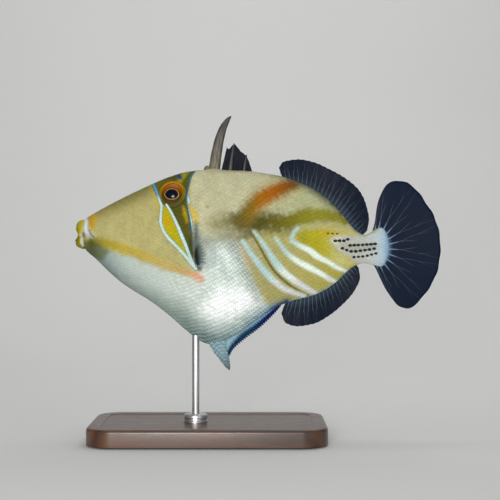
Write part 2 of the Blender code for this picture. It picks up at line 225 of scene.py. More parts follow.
def leave_edit() -> None:
    """Closes edit mode."""
    bpy.ops.object.mode_set(mode="OBJECT")


def apply_modifier(piece: Piece, kind: str, **settings: object) -> None:
    """Adds one modifier to a piece and applies it.

    Args:
        piece: the mesh object.
        kind: the modifier's type.
        settings: its values by name.
    """
    pick(piece)
    modifier = piece.modifiers.new(kind.title(), kind)
    for key, value in settings.items():
        setattr(modifier, key, value)
    bpy.ops.object.modifier_apply(modifier=modifier.name)


def added(name: str) -> Piece:
    """Names the primitive just added, and returns it."""
    bpy.context.object.name = bpy.context.object.data.name = name
    return bpy.context.object


def settle(piece: Piece) -> None:
    """Applies a piece's place, turn and size, so that its object sits at the origin."""
    pick(piece)
    bpy.ops.object.transform_apply(location=True, rotation=True, scale=True)


def corners(piece: Piece) -> Array:
    """Where a piece's vertices are.

    Args:
        piece: the mesh object.

    Returns:
        A (vertices, 3) table in mm.
    """
    values = np.empty(len(piece.data.vertices) * 3)
    piece.data.vertices.foreach_get("co", values)
    return values.reshape(-1, 3) / MM


def move_corners(piece: Piece, points: Array) -> None:
    """Puts a piece's vertices at points in mm."""
    piece.data.vertices.foreach_set("co", (points * MM).ravel())
    piece.data.update()


def mesh_piece(name: str, vertices: Array, faces: Sequence[Sequence[int]]) -> Piece:
    """An object from lists of points and faces, shaded smooth.

    Args:
        name: the piece's name.
        vertices: points in mm.
        faces: the corners of each face.

    Returns:
        The new object.
    """
    data = bpy.data.meshes.new(name)
    data.from_pydata((vertices * MM).tolist(), [], faces)
    data.update()
    data.shade_smooth()
    made = bpy.data.objects.new(name, data)
    bpy.context.scene.collection.objects.link(made)
    return made


def grid_piece(name: str, points: Array) -> Piece:
    """A sheet of quads: a grid primitive whose vertices are put in place.

    Args:
        name: the piece's name.
        points: a (rows, columns, 3) table in mm.

    Returns:
        The new object.
    """
    rows, columns = points.shape[:2]
    deselect()
    bpy.ops.mesh.primitive_grid_add(x_subdivisions=columns - 1, y_subdivisions=rows - 1, size=1)
    made = added(name)
    move_corners(made, points.reshape(-1, 3))
    made.data.shade_smooth()
    return made


def write_numbers(piece: Piece, name: str, values: Array) -> None:
    """Stores one number for each vertex, which a material can read by name."""
    layer = piece.data.attributes.new(name, "FLOAT", "POINT")
    layer.data.foreach_set("value", np.asarray(values, np.float32))


def write_colours(piece: Piece, name: str, values: Array) -> None:
    """Stores one linear colour for each vertex, which a material can read by name.

    Args:
        piece: the mesh object.
        name: the attribute's name.
        values: a (vertices, 3) table.
    """
    layer = piece.data.attributes.new(name, "FLOAT_COLOR", "POINT")
    rgba = np.concatenate([np.clip(values, 0, 1), np.ones((len(values), 1))], axis=1)
    layer.data.foreach_set("color", rgba.astype(np.float32).ravel())


def write_unwrap(piece: Piece, spots: Array) -> None:
    """Gives a piece its bake map.

    Args:
        piece: the mesh object.
        spots: one (u, v) for each vertex.
    """
    mesh = piece.data
    while mesh.uv_layers:
        mesh.uv_layers.remove(mesh.uv_layers[0])
    layer = mesh.uv_layers.new(name=BAKE_MAP)
    loops = np.empty(len(mesh.loops), np.int32)
    mesh.loops.foreach_get("vertex_index", loops)
    layer.data.foreach_set("uv", np.asarray(spots, np.float32)[loops].ravel())


def recalculate(piece: Piece, merge: float = 0) -> None:
    """Turns a piece's faces outwards.

    Args:
        piece: the mesh object.
        merge: doubles closer than this, in mm, are merged first.
    """
    edit(piece)
    if merge:
        bpy.ops.mesh.remove_doubles(threshold=merge * MM)
    bpy.ops.mesh.normals_make_consistent(inside=False)
    leave_edit()


def close_holes(piece: Piece) -> None:
    """Fills every open loop of edges and shades the piece smooth.

    Args:
        piece: the mesh object.
    """
    edit(piece, lambda edge: False, "EDGE")
    bpy.ops.mesh.select_non_manifold()
    bpy.ops.mesh.fill_holes(sides=0)
    leave_edit()
    piece.data.shade_smooth()


def tubes(name: str, paths: Array, radii: Array, sides: int) -> Piece:
    """Many closed tubes, each along its own path, joined in one piece.

    Args:
        name: the piece's name.
        paths: a (tubes, points, 3) array in mm, with no path along Y.
        radii: a (tubes, points) array in mm.
        sides: how many sides each tube has.

    Returns:
        The new object.
    """
    count, length = paths.shape[:2]
    heading = np.gradient(paths, axis=1)
    heading /= np.linalg.norm(heading, axis=2)[..., None] + TINY
    first = np.cross(heading, (0, 1, 0))
    first /= np.linalg.norm(first, axis=2)[..., None] + TINY
    second = np.cross(heading, first)
    turn = np.linspace(0, 2 * math.pi, sides, endpoint=False)[:, None]
    spokes = first[:, :, None] * np.cos(turn) + second[:, :, None] * np.sin(turn)
    vertices = (paths[:, :, None] + spokes * radii[:, :, None, None]).reshape(-1, 3)
    tube, row, side = np.meshgrid(np.arange(count), np.arange(length - 1), np.arange(sides), indexing="ij")
    after = (side + 1) % sides
    base = (tube * length + row) * sides
    quads = np.stack([base + side, base + after, base + sides + after, base + sides + side], axis=-1)
    faces = quads.reshape(-1, 4).tolist()
    for k in range(count):
        start = k * length * sides
        last = start + (length - 1) * sides
        faces.append(list(range(start, start + sides))[::-1])
        faces.append(list(range(last, last + sides)))
    made = mesh_piece(name, vertices, faces)
    recalculate(made)
    return made


def finish_piece(piece: Piece, slot: Slot, material: Material, *replaced: str) -> Piece:
    """Dresses a piece, lets it ride on the fish, and hides the CAD nodes that it stands for.

    Args:
        piece: the mesh object.
        slot: the kind of finish it belongs to; not used.
        material: what it is dressed in.
        replaced: CAD nodes that it stands for.

    Returns:
        The piece.
    """
    piece.data.materials.clear()
    piece.data.materials.append(material)
    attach(piece, BODY)
    if replaced:
        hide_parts(*replaced)
    log.info("%s: %d faces", piece.name, len(piece.data.polygons))
    return piece


# Shader wiring


class Graph:
    """Shorthand for wiring one node tree."""

    def __init__(self, tree: bpy.types.NodeTree) -> None:
        """Keeps the tree that nodes are added to."""
        self.tree = tree

    def node(self, kind: str, inputs: dict | None = None, **settings: object) -> bpy.types.Node:
        """Adds a node.

        Args:
            kind: the node's type name, without ShaderNode.
            inputs: values or sockets by input name or number.
            settings: properties of the node itself.

        Returns:
            The node.
        """
        made = self.tree.nodes.new("ShaderNode" + kind)
        for key, value in settings.items():
            setattr(made, key, value)
        for key, value in (inputs or {}).items():
            self.feed(made.inputs[key], value)
        return made

    def feed(self, socket: Socket, value: object) -> None:
        """Links a socket to another, or sets its value.

        Args:
            socket: an input.
            value: an output, a colour or a number.
        """
        if isinstance(value, Socket):
            self.tree.links.new(value, socket)
        elif isinstance(value, Array):
            socket.default_value = (*value, 1)[: len(socket.default_value)]
        else:
            socket.default_value = value

    def math(self, operation: str, *values: object, clamp: bool = False) -> Socket:
        """The result of a sum on numbers or sockets."""
        return self.node("Math", dict(enumerate(values)), operation=operation, use_clamp=clamp).outputs[0]

    def mix(self, factor: object, first: object, second: object, kind: str = "MIX") -> Socket:
        """Two colours mixed by a factor."""
        sockets = {0: factor, 6: first, 7: second}
        return self.node("Mix", sockets, data_type="RGBA", blend_type=kind).outputs[2]

    def step(self, value: object, low: float, high: float, bottom: float = 0, top: float = 1) -> Socket:
        """A smooth step of a value from bottom at low to top at high."""
        sockets = {"Value": value, "From Min": low, "From Max": high, "To Min": bottom, "To Max": top}
        return self.node("MapRange", sockets, interpolation_type="SMOOTHSTEP").outputs[0]

    def scaled(self, value: object, share: object, base: object = 0) -> Socket:
        """A value times a share, on top of a base."""
        return self.math("MULTIPLY_ADD", value, share, base)

    def number(self, name: str, output: str = "Fac") -> Socket:
        """A number or colour stored on the mesh."""
        return self.node("Attribute", attribute_name=name).outputs[output]

    def place(self) -> Socket:
        """The place on the object, in its own coordinates."""
        return self.node("TexCoord").outputs["Object"]

    def stretched(self, x: float, y: float, z: float) -> Socket:
        """The place on the object, with a pattern drawn out where a number is small."""
        return self.node("Mapping", {"Vector": self.place(), "Scale": Vector((x, y, z))}).outputs[0]

    def noise(self, vector: object, grain: float, detail: float = 2) -> Socket:
        """Noise whose blotches are about `grain` mm across."""
        sockets = {"Vector": vector, "Scale": 1 / (grain * MM), "Detail": detail}
        return self.node("TexNoise", sockets).outputs[0]

    def bump(self, height: object, depth: float) -> Socket:
        """A normal from a height of 0 to 1 that stands for `depth` mm."""
        return self.node("Bump", {"Height": height, "Distance": depth * MM, "Strength": 1}).outputs[0]

    def use(self, group: bpy.types.NodeTree, inputs: dict[str, object]) -> Socket:
        """What a shader group puts out, placed with its own values."""
        return self.node("Group", inputs, node_tree=group).outputs[0]


class Finish(Graph):
    """A Principled material while it is wired."""

    def __init__(self, name: str, plain: Colour, **sockets: float) -> None:
        """Makes the material and sets its constant values.

        Args:
            name: the material's name.
            plain: the colour shown in a plain viewport.
            sockets: constant inputs, named with _ for a space.
        """
        self.material = bpy.data.materials.new(name)
        self.material.use_nodes = True
        self.material.diffuse_color = (*plain, 1)
        super().__init__(self.material.node_tree)
        self.give(**sockets)

    def give(self, **sockets: object) -> Material:
        """Feeds the shader.

        Args:
            sockets: its inputs, named with _ for a space.

        Returns:
            The material.
        """
        for key, value in sockets.items():
            self.feed(self.tree.nodes["Principled BSDF"].inputs[key.replace("_", " ")], value)
        return self.material


def shader_group(name: str, takes: dict[str, float | None], wire: Callable,
                 gives: str = "Color") -> bpy.types.NodeTree:
    """A shader node group with named sockets.

    Args:
        name: the group's name.
        takes: default by input name, or None for a colour.
        wire: makes the nodes; it gets the graph and the input sockets by name, and returns what goes out.
        gives: the output's name, Color being a colour and any other a number.

    Returns:
        The group's tree.
    """
    tree = bpy.data.node_groups.new(name, "ShaderNodeTree")
    for key, value in takes.items():
        kind = "NodeSocketColor" if value is None else "NodeSocketFloat"
        socket = tree.interface.new_socket(key, in_out="INPUT", socket_type=kind)
        if value is not None:
            socket.default_value = value
    kind = "NodeSocketColor" if gives == "Color" else "NodeSocketFloat"
    tree.interface.new_socket(gives, in_out="OUTPUT", socket_type=kind)
    source, drain = tree.nodes.new("NodeGroupInput"), tree.nodes.new("NodeGroupOutput")
    made = wire(Graph(tree), {key: source.outputs[key] for key in takes})
    tree.links.new(made, drain.inputs[gives])
    return tree


# The fish's shape


@dataclass(frozen=True)
class Lip:
    """The roll of one lip, or the corner of the mouth."""

    x: float
    at: float
    radius: float

    def reach(self, forward: float, outward: float) -> Pair:
        """Where the roll lies, for the parts of its radius forward and outward."""
        return self.x - self.radius * forward, self.at + self.radius * outward


@dataclass(frozen=True)
class EyeSeat:
    """Where one eye sits: its ball, the low mound round it, and the lids' opening."""

    side: Side
    x: float = -46.2
    y: float = 6.4
    z: float = 133.6
    radius: float = 6.5
    half_depth: float = 4.4
    tilt: float = math.radians(18)
    turn: float = math.radians(6)
    mound_radius: float = 8.6
    mound_depth: float = 3.3
    opening: float = 5.35
    patch_radius: float = 9.6

    def frame(self) -> tuple[Array, ...]:
        """Where the eye lies.

        Returns:
            Its centre, outward axis, forward direction and upward direction.
        """
        sign = self.side.value
        turn = Matrix.Rotation(sign * self.turn, 3, "Z") @ Matrix.Rotation(sign * self.tilt, 3, "X")
        axes = [np.array(turn @ Vector(axis)) for axis in ((0, sign, 0), (-1, 0, 0), (0, 0, 1))]
        return np.array([self.x, sign * self.y, self.z]), *axes

    def measure(self, points: Array) -> tuple[Array, ...]:
        """Places by the eye: forward, upward and outward distances from its centre."""
        centre, outward, forward, upward = self.frame()
        return tuple((points - centre) @ axis for axis in (forward, upward, outward))

    def lid_height(self, radius: Array, flank: Array) -> Array:
        """How far out the skin stands at a distance from the eye's axis.

        Args:
            radius: distance from the axis.
            flank: how far out the flank would stand without an eye.

        Returns:
            The skin's height over the eye's centre.
        """
        mound = self.mound_depth * np.sqrt(np.clip(1 - (radius / self.mound_radius) ** 2, 0, 1))
        mound = mound - 3 * ease(self.mound_radius - 1.2, self.mound_radius + 2, radius)
        height = smooth_max(flank, mound, 0.9) - 0.25 * ease(15, 11, radius)
        roll = 0.34 * hump(radius - self.opening - 0.75, 0.42)
        fold = 0.1 * np.sin(2 * math.pi * (radius - 6.2) / 0.8) * ease(6, 6.5, radius) * ease(9.2, 8, radius)
        ball = self.half_depth * np.sqrt(np.clip(1 - (radius / self.radius) ** 2, 0, 1))
        socket = ball - 0.35 - 2.2 * ease(self.opening, 4.6, radius)
        inside = ease(self.opening + 0.35, self.opening - 0.05, radius)
        return (height + roll + fold) * (1 - inside) + socket * inside


@dataclass(frozen=True)
class BodyForm:
    """The fish's body, as rings down one flank from the back to the belly, the same on both sides."""

    back: Points = (
        (-94.6, 120.8), (-88.7, 124.3), (-75.5, 131.4), (-62.4, 137.7), (-49.2, 143.4), (-39.4, 146.3),
        (-29.5, 147.5), (-16.4, 147.3), (-3.2, 146.7), (6.6, 145.4), (16.5, 142.9), (26.3, 139.2),
        (36.2, 133.4), (42.8, 127.3), (49.3, 119.4), (53.7, 114.3), (58.5, 112), (63.2, 114.4), (67, 116),
    )
    belly: Points = (
        (-94.6, 103.2), (-88.7, 98.2), (-82.1, 91.7), (-75.5, 85.9), (-68.9, 81.3), (-59.1, 75.3),
        (-49.2, 67.8), (-39.4, 59.3), (-29.5, 52.4), (-22.9, 50.9), (-16.4, 53.4), (-3.2, 62.4), (9.9, 71.6),
        (18, 75), (29.6, 78), (36.2, 80.9), (42.8, 85.3), (47.7, 90.2), (52.6, 94.2), (58, 95.8), (62.4, 95),
        (67, 94),
    )
    half_width: Points = (
        (-94.6, 6), (-88.7, 6.6), (-75.5, 8), (-62.4, 9.9), (-46.2, 12.6), (-33, 14.3), (-20, 15), (-6, 14.6),
        (10, 12.8), (22, 10.6), (34, 8), (44, 5.8), (52, 4.4), (59, 3.5), (67, 2.4),
    )
    widest: Points = ((-94.6, 112), (-75, 109), (-50, 106), (-20, 104), (10, 107), (40, 107), (67, 105))
    back_roundness: float = 2
    belly_roundness: Points = (
        (-94.6, 2), (-70, 1.7), (-45, 1.4), (-20, 1.25), (5, 1.3), (25, 1.5), (45, 1.9), (67, 2),
    )
    upper_lip: Lip = Lip(-96.2, 116.4, 3.5)
    lower_lip: Lip = Lip(-97.1, 107.2, 2.9)
    lip_corner: Lip = Lip(-96.2, 4.6, 1.7)
    lips_end: float = -94.6
    lip_rings: int = 74
    mouth_height: float = 111.6
    throat: tuple[Triple, ...] = ((-92.6, 0.6, 1.6), (-94.4, 1.25, 2.8))
    lip_arc: Pair = (math.radians(-88), math.radians(72))
    tail_root_length: float = 5
    bend_length: float = 9
    eye_height: float = 133
    inset: float = 0.3
    flank_points: int = 104

    def half_ring(self, top: Pair, bottom: Pair, side: Triple, powers: Pair) -> Array:
        """Points down the right side of one section, closer together where it bends and near the eye.

        Args:
            top, bottom: (x, z) of the section's ends in the mid-plane.
            side: (x, y, z) of its widest place.
            powers: how square the back and belly are, 2 being round.

        Returns:
            A (flank_points, 3) array.
        """
        quarter = np.linspace(0, math.pi / 2, 90)
        halves = []
        for (end_x, end_z), power, angles in ((top, powers[0], quarter),
                                              (bottom, powers[1], quarter[::-1][1:])):
            x = side[0] + (end_x - side[0]) * np.cos(angles) ** 2
            y = side[1] * np.sin(angles) ** (2 / power)
            halves.append(np.stack([x, y, side[2] + (end_z - side[2]) * np.cos(angles) ** (2 / power)],
                                   axis=1))
        curve = np.concatenate(halves)
        steps = np.diff(curve, axis=0)
        heading = np.unwrap(np.arctan2(steps[:, 1], -steps[:, 2]))
        turning = np.gradient(heading) * min(1, (top[1] - bottom[1]) / self.bend_length / 4)
        near_eye = 1 + 1.1 * hump(curve[1:, 2] - self.eye_height, 12)
        along = running(np.linalg.norm(steps, axis=1) * near_eye + self.bend_length * np.abs(turning))
        return read_rows(np.linspace(0, along[-1], self.flank_points), along, curve)

    def stations(self) -> list[tuple]:
        """Close sections from the throat round the lips to the tail.

        Returns:
            Each one's top, bottom, side and powers.
        """
        made = []
        round_powers = (2, 2)
        middle = self.mouth_height
        for x, half_height, half_width in self.throat:
            made.append(((x, middle + half_height), (x, middle - half_height), (x, half_width, middle),
                         round_powers))
        for angle in np.linspace(*self.lip_arc, 21):
            forward, outward = math.cos(angle), math.sin(angle)
            top, bottom = self.upper_lip.reach(forward, outward), self.lower_lip.reach(forward, -outward)
            made.append((top, bottom, (*self.lip_corner.reach(forward, outward), middle), round_powers))
        runs = np.arange(self.lips_end, -58, 0.56), np.arange(-58, -33, 0.42), np.arange(-33, 66.8, 0.6), [67]
        return made + [self.section(float(x)) for x in np.concatenate(runs)]

    def section(self, x: float) -> tuple:
        """The body's upright section.

        Args:
            x: where it is cut.

        Returns:
            Its top, bottom, side and powers.
        """
        tables = (self.back, self.belly, self.half_width, self.widest, self.belly_roundness)
        back, belly, width, widest, power = (float(smooth(table, x)) for table in tables)
        return (x, back), (x, belly), (x, width, widest), (self.back_roundness, power)

    def flank(self) -> Array:
        """The right flank before the skin's folds.

        Returns:
            A (rings, flank_points, 3) table.
        """
        stations = self.stations()
        rings = [self.half_ring(*station) for station in stations]
        first_body = max(i for i, station in enumerate(stations) if station[0][0] <= self.lips_end) + 1
        last = rings[-1]
        middle = (last[0, 2] + last[-1, 2]) / 2
        root = []
        for angle in np.radians(np.arange(8, 88, 6.5)):
            ring = last.copy()
            ring[:, 0] += self.tail_root_length * math.sin(angle)
            ring[:, 1] *= math.cos(angle)
            ring[:, 2] = middle + (ring[:, 2] - middle) * math.cos(angle)
            root.append(ring)
        return np.array([*self.fill_in(rings[:first_body]), *rings[first_body:], *root])

    def fill_in(self, rings: Sequence[Array]) -> Array:
        """The lips' rings spaced evenly.

        Args:
            rings: a run of rings.

        Returns:
            A (lip_rings, flank_points, 3) table of the same run.
        """
        rings = np.array(rings)
        along = running(np.linalg.norm(np.diff(rings, axis=0), axis=2).max(axis=1))
        at = np.linspace(0, along[-1], self.lip_rings)
        return read_rows(at, along, rings.reshape(len(rings), -1)).reshape(self.lip_rings, -1, 3)


@dataclass(frozen=True)
class Relief:
    """The skin's folds and dents, as heights over the body's form."""

    gill_path: Points = (
        (-36.6, 113), (-35.9, 108.8), (-35, 103.4), (-34.1, 97.8), (-32.4, 93.6), (-31.6, 91.4),
    )
    gill_depth: float = 0.8
    lip_crease_x: float = -94.9
    nostrils: Points = ((-54.9, 139.3), (-53.9, 138))
    fin_base: Pair = (-31.6, 99.8)
    fin_base_size: Pair = (2.1, 5.2)
    dorsal_groove: Pair = (-2, 9.5)

    def height(self, points: Array) -> Array:
        """How far the skin stands out at each point, in mm.

        Args:
            points: places on the right flank.

        Returns:
            One height for each.
        """
        x, y, z = points[..., 0], points[..., 1], points[..., 2]
        flank = ease(1, 4, y)
        path = trace(self.gill_path, 40)
        away, along = nearest(path, x, z)
        gap_x = x - np.interp(-z, -path[:, 1], path[:, 0])
        groove = 0.5 * hump(gap_x + 1.5, 0.8) * ease(4, 1, away) - self.gill_depth * hump(away, 0.5)
        total = groove * ease(0, 0.12, along) * ease(1, 0.88, along) * flank
        (base_x, base_z), (width, height) = self.fin_base, self.fin_base_size
        reach = ((x - base_x) / width) ** 2 + ((z - base_z) / height) ** 2
        total = total + 1.25 * ease(1.5, 0.1, reach) * flank
        total = total - 0.5 * hump(x - self.lip_crease_x, 0.55) * ease(-97.5, -95.6, x)
        wrinkle = np.sin(z * 5.1 + 1.3 * np.sin(x * 3)) * 0.07
        total = total + wrinkle * ease(-95.6, -97, x)
        for spot_x, spot_z in self.nostrils:
            away = np.hypot((x - spot_x) * 1.3, z - spot_z)
            total = total + flank * (0.18 * hump(away - 0.85, 0.3) - 0.75 * hump(away, 0.5))
        total = total + 1.3 * hump(x + 24, 3.4) * hump(y, 3.2) * ease(140, 146, z)
        start, end = self.dorsal_groove
        total = total - 0.7 * hump(y, 0.9) * ease(start, start + 2, x) * ease(end, end - 3, x) * ease(120,
                                                                                                      140, z)
        swell = 0.1 * ripple(x, z, 34, 3) + 0.05 * ripple(x, z, 13, 4)
        return total + swell * ease(-92, -80, x) * ease(0, 4, y)

    def from_gill(self, x: Array, z: Array) -> Array:
        """Distance to the gill slit."""
        return nearest(trace(self.gill_path, 30), x, z)[0]


def nearest(path: Array, x: Array, z: Array) -> tuple[Array, Array]:
    """Distance to a path, and how far along it the nearest place is.

    Args:
        path: (points, 2 or more) of x and z, with anything else after them.
        x, z: places.

    Returns:
        The distance in mm, and 0 to 1 along the path.
    """
    best = np.full(np.shape(x), 1e9)
    where = np.zeros(np.shape(x))
    for i, (start, end) in enumerate(zip(path[:-1, :2], path[1:, :2])):
        run = end - start
        t = np.clip(((x - start[0]) * run[0] + (z - start[1]) * run[1]) / (run @ run + 1e-12), 0, 1)
        away = np.hypot(x - start[0] - t * run[0], z - start[1] - t * run[1])
        closer = away < best
        best = np.where(closer, away, best)
        where = np.where(closer, (i + t) / (len(path) - 1), where)
    return best, where


class Flank:
    """The right flank's finished surface, which the skin and the scales both follow."""

    def __init__(self, form: BodyForm, relief: Relief) -> None:
        """Makes the table of points, with the folds, the eye's mound and the inset.

        Args:
            form: the body's shape.
            relief: the skin's folds.
        """
        plain = form.flank()
        self.relief, self.seat = relief, EyeSeat(Side.RIGHT)
        self.first_body = int(np.argmax(np.ptp(plain[..., 0], axis=1) < 1e-6))
        self.plain = plain - self.normals(plain) * form.inset
        self.plain[:, (0, -1), 1] = 0
        self.raised = self.plain + self.normals(self.plain) * relief.height(plain)[..., None]
        self.raised[:, (0, -1), 1] = 0
        forward, upward, outward = self.seat.measure(self.raised)
        radius = np.hypot(forward, upward)
        out = self.raised[..., 1]
        near = (radius < 16) & (outward > -6) & (out > 0.2)
        lift = np.where(near, self.seat.lid_height(np.maximum(radius, 6), outward) - outward, 0)
        lift = lift * ease(16, 12, radius) * ease(0.2, 2, out)
        self.points = self.raised + lift[..., None] * self.seat.frame()[1]
        self.measure()

    @staticmethod
    def normals(table: Array) -> Array:
        """Outward unit normals of a flank table.

        Args:
            table: a (rings, points, 3) table.

        Returns:
            A table of the same shape.
        """
        normal = np.cross(np.gradient(table, axis=0), np.gradient(table, axis=1))
        normal = normal / np.maximum(np.linalg.norm(normal, axis=2), TINY)[..., None]
        outward = np.sign((normal[..., 1] * np.maximum(table[..., 1], 0.05)).sum(axis=1))
        return normal * np.where(outward == 0, 1, outward)[:, None, None]

    def measure(self) -> None:
        """Measures lengths along the body and down each ring, and an even copy of the table."""
        down = np.linalg.norm(np.diff(self.points, axis=1), axis=2)
        self.down = np.concatenate([np.zeros((len(down), 1)), np.cumsum(down, axis=1)], axis=1)
        self.along = running(np.linalg.norm(np.diff(self.points, axis=0), axis=2).mean(axis=1))
        body, depth = self.points[self.first_body:], self.down[self.first_body:]
        self.xs = body[:, 2, 0].copy()
        widest = self.plain[self.first_body:, :, 1].argmax(axis=1)
        self.above = smooth_run(depth[np.arange(len(depth)), widest])
        self.below = smooth_run(depth[:, -1]) - self.above
        self.fractions = np.concatenate([np.linspace(-1, 0, 90, endpoint=False), np.linspace(0, 1, 130)])
        even = []
        for ring, lengths, above, below in zip(body, depth, self.above, self.below):
            at = above + np.where(self.fractions < 0, self.fractions * above, self.fractions * below)
            even.append(read_rows(at, lengths, ring))
        self.even = np.array(even)
        self.even_normals = self.normals(self.even)

    def spans(self, x: Array) -> tuple[Array, Array]:
        """Lengths from the widest line up to the back and down to the keel."""
        return np.interp(x, self.xs, self.above), np.interp(x, self.xs, self.below)

    def read(self, x: Array, down: Array) -> tuple[Array, Array]:
        """Points and normals on the body.

        Args:
            x: places along it.
            down: distances down the flank from its widest line, negative above it.

        Returns:
            The points and the unit normals there.
        """
        row = np.clip(np.interp(x, self.xs, np.arange(len(self.xs))), 0, len(self.xs) - 1.001)
        above, below = self.spans(x)
        fraction = np.clip(np.where(down < 0, down / above, down / below), -1, 1)
        column = np.interp(fraction, self.fractions, np.arange(len(self.fractions)))
        column = np.clip(column, 0, len(self.fractions) - 1.001)
        i, j = row.astype(int), column.astype(int)
        s, t = (row - i)[:, None], (column - j)[:, None]
        results = []
        for table in (self.even, self.even_normals):
            upper = table[i, j] * (1 - s) + table[i + 1, j] * s
            lower = table[i, j + 1] * (1 - s) + table[i + 1, j + 1] * s
            results.append(upper * (1 - t) + lower * t)
        return results[0], results[1] / np.linalg.norm(results[1], axis=1)[:, None]

    def down_at(self, x: float, z: float) -> tuple[int, float]:
        """Where a place seen from the side lies on the even table.

        Args:
            x, z: the place.

        Returns:
            Its row, and its distance down the flank from the widest line.
        """
        row = int(np.clip(np.interp(x, self.xs, np.arange(len(self.xs))), 0, len(self.xs) - 1))
        share = float(np.interp(-z, -self.even[row][:, 2], self.fractions))
        return row, share * (self.above[row] if share < 0 else self.below[row])

    def on_map(self, along: Array) -> Array:
        """How far over the bake map a length along the body lies."""
        return 0.02 + 0.96 * along / self.along[-1]

    def spot(self, x: Array, from_keel: Array, side: int) -> Array:
        """Bake-map places on the unwrap: along the body, and up each flank from the keel."""
        u = self.on_map(np.interp(x, self.xs, self.along[self.first_body:]))
        return np.stack([u, 0.5 + side * from_keel / FLANK_ON_MAP], axis=1)

    def unwrap_point(self, point: Array, side: int) -> Array:
        """The bake-map place of one point near the body."""
        row, down = self.down_at(point[0], point[2])
        return self.spot(point[:1], self.below[row] - np.array([down]), side)[0]


def smooth_run(values: Array, reach: int = 6) -> Array:
    """A run of numbers with its small steps evened out."""
    padded = np.pad(values, reach, mode="edge")
    return np.convolve(padded, np.ones(2 * reach + 1) / (2 * reach + 1), mode="valid")


# Markings


@dataclass(frozen=True)
class Shape:
    """A painted shape on the flank seen from the side, by its (x, z) points."""

    points: Points

    def box(self) -> Array:
        """Its lowest and highest x and z."""
        return np.array([np.min(self.points, axis=0), np.max(self.points, axis=0)])


@dataclass(frozen=True)
class Stroke(Shape):
    """A brush line, with its half width in mm at its start, middle and end."""

    half_widths: Triple

    def distance(self, x: Array, z: Array) -> Array:
        """Signed distance in mm to the line's edge, negative inside it."""
        away, along = nearest(trace(self.points, 4 * len(self.points)), x, z)
        return away - np.interp(along, (0, 0.5, 1), self.half_widths)


@dataclass(frozen=True)
class Patch(Shape):
    """A closed area, by its outline."""

    def distance(self, x: Array, z: Array) -> Array:
        """Signed distance to the area's edge.

        Args:
            x, z: places.

        Returns:
            Distances in mm, negative inside it.
        """
        ring = np.array([*self.points, self.points[0]])
        inside = np.zeros(np.shape(x), bool)
        for (x0, z0), (x1, z1) in zip(ring[:-1], ring[1:]):
            if z0 != z1:
                inside ^= ((z0 > z) != (z1 > z)) & (x < (x1 - x0) * (z - z0) / (z1 - z0) + x0)
        away = nearest(ring, x, z)[0]
        return np.where(inside, -away, away)


def signed(shapes: Sequence[Shape], x: Array, z: Array, margin: float) -> Array:
    """Signed distance to the nearest of some shapes, no more than a margin.

    Args:
        shapes: strokes and patches.
        x, z: places.
        margin: the largest distance that matters.

    Returns:
        One distance for each place.
    """
    best = np.full(len(x), float(margin))
    for shape in shapes:
        low, high = shape.box() + np.array([[-margin], [margin]])
        near = (x > low[0]) & (x < high[0]) & (z > low[1]) & (z < high[1])
        best[near] = np.minimum(best[near], shape.distance(x[near], z[near]))
    return best


@dataclass(frozen=True)
class Tint:
    """Soft colour laid over a shape, as an airbrush would: (x, colour) stops along the fish."""

    shape: Shape
    colours: Sequence[tuple[float, Colour]]
    soft: float = 1
    strength: float = 1
    uneven: float = 0.4
    grain: float = 6

    def lay(self, colour: Array, x: Array, z: Array) -> Array:
        """The colours with this one over them.

        Args:
            colour: (places, 3) linear colours.
            x, z: the places.

        Returns:
            The new colours.
        """
        away = signed([self.shape], x, z, self.soft + 3 * self.uneven + 1)
        away = away + self.uneven * ripple(x, z, self.grain, len(self.colours) + 11)
        amount = ease(self.soft, -self.soft, away)[:, None] * self.strength
        stops = np.array([place for place, _ in self.colours])
        shade = read_rows(x, stops, np.array([paint(*shade) for _, shade in self.colours]))
        return colour * (1 - amount) + shade * amount


@dataclass(frozen=True)
class SpineletRow:
    """A row of small forward thorns on the tail stalk, each on a dark spot."""

    path: Points
    count: int
    size: float = 1

    def places(self) -> Array:
        """The thorns' (x, z) places."""
        return trace(self.path, self.count)


SPINELET_ROWS = (
    SpineletRow(((38.2, 112.4), (43.2, 112.2)), 3, 0.6),
    SpineletRow(((42.2, 108.4), (47.1, 108.4), (49.1, 109.2)), 4),
    SpineletRow(((50.4, 105.9), (57.3, 106.2), (64.1, 106.7)), 7),
    SpineletRow(((46.1, 104.3), (51.5, 102.6), (56.3, 103), (63.6, 104.1)), 8),
    SpineletRow(((52.6, 99.5), (57.6, 99.9), (64.6, 101.5)), 6, 0.9),
)


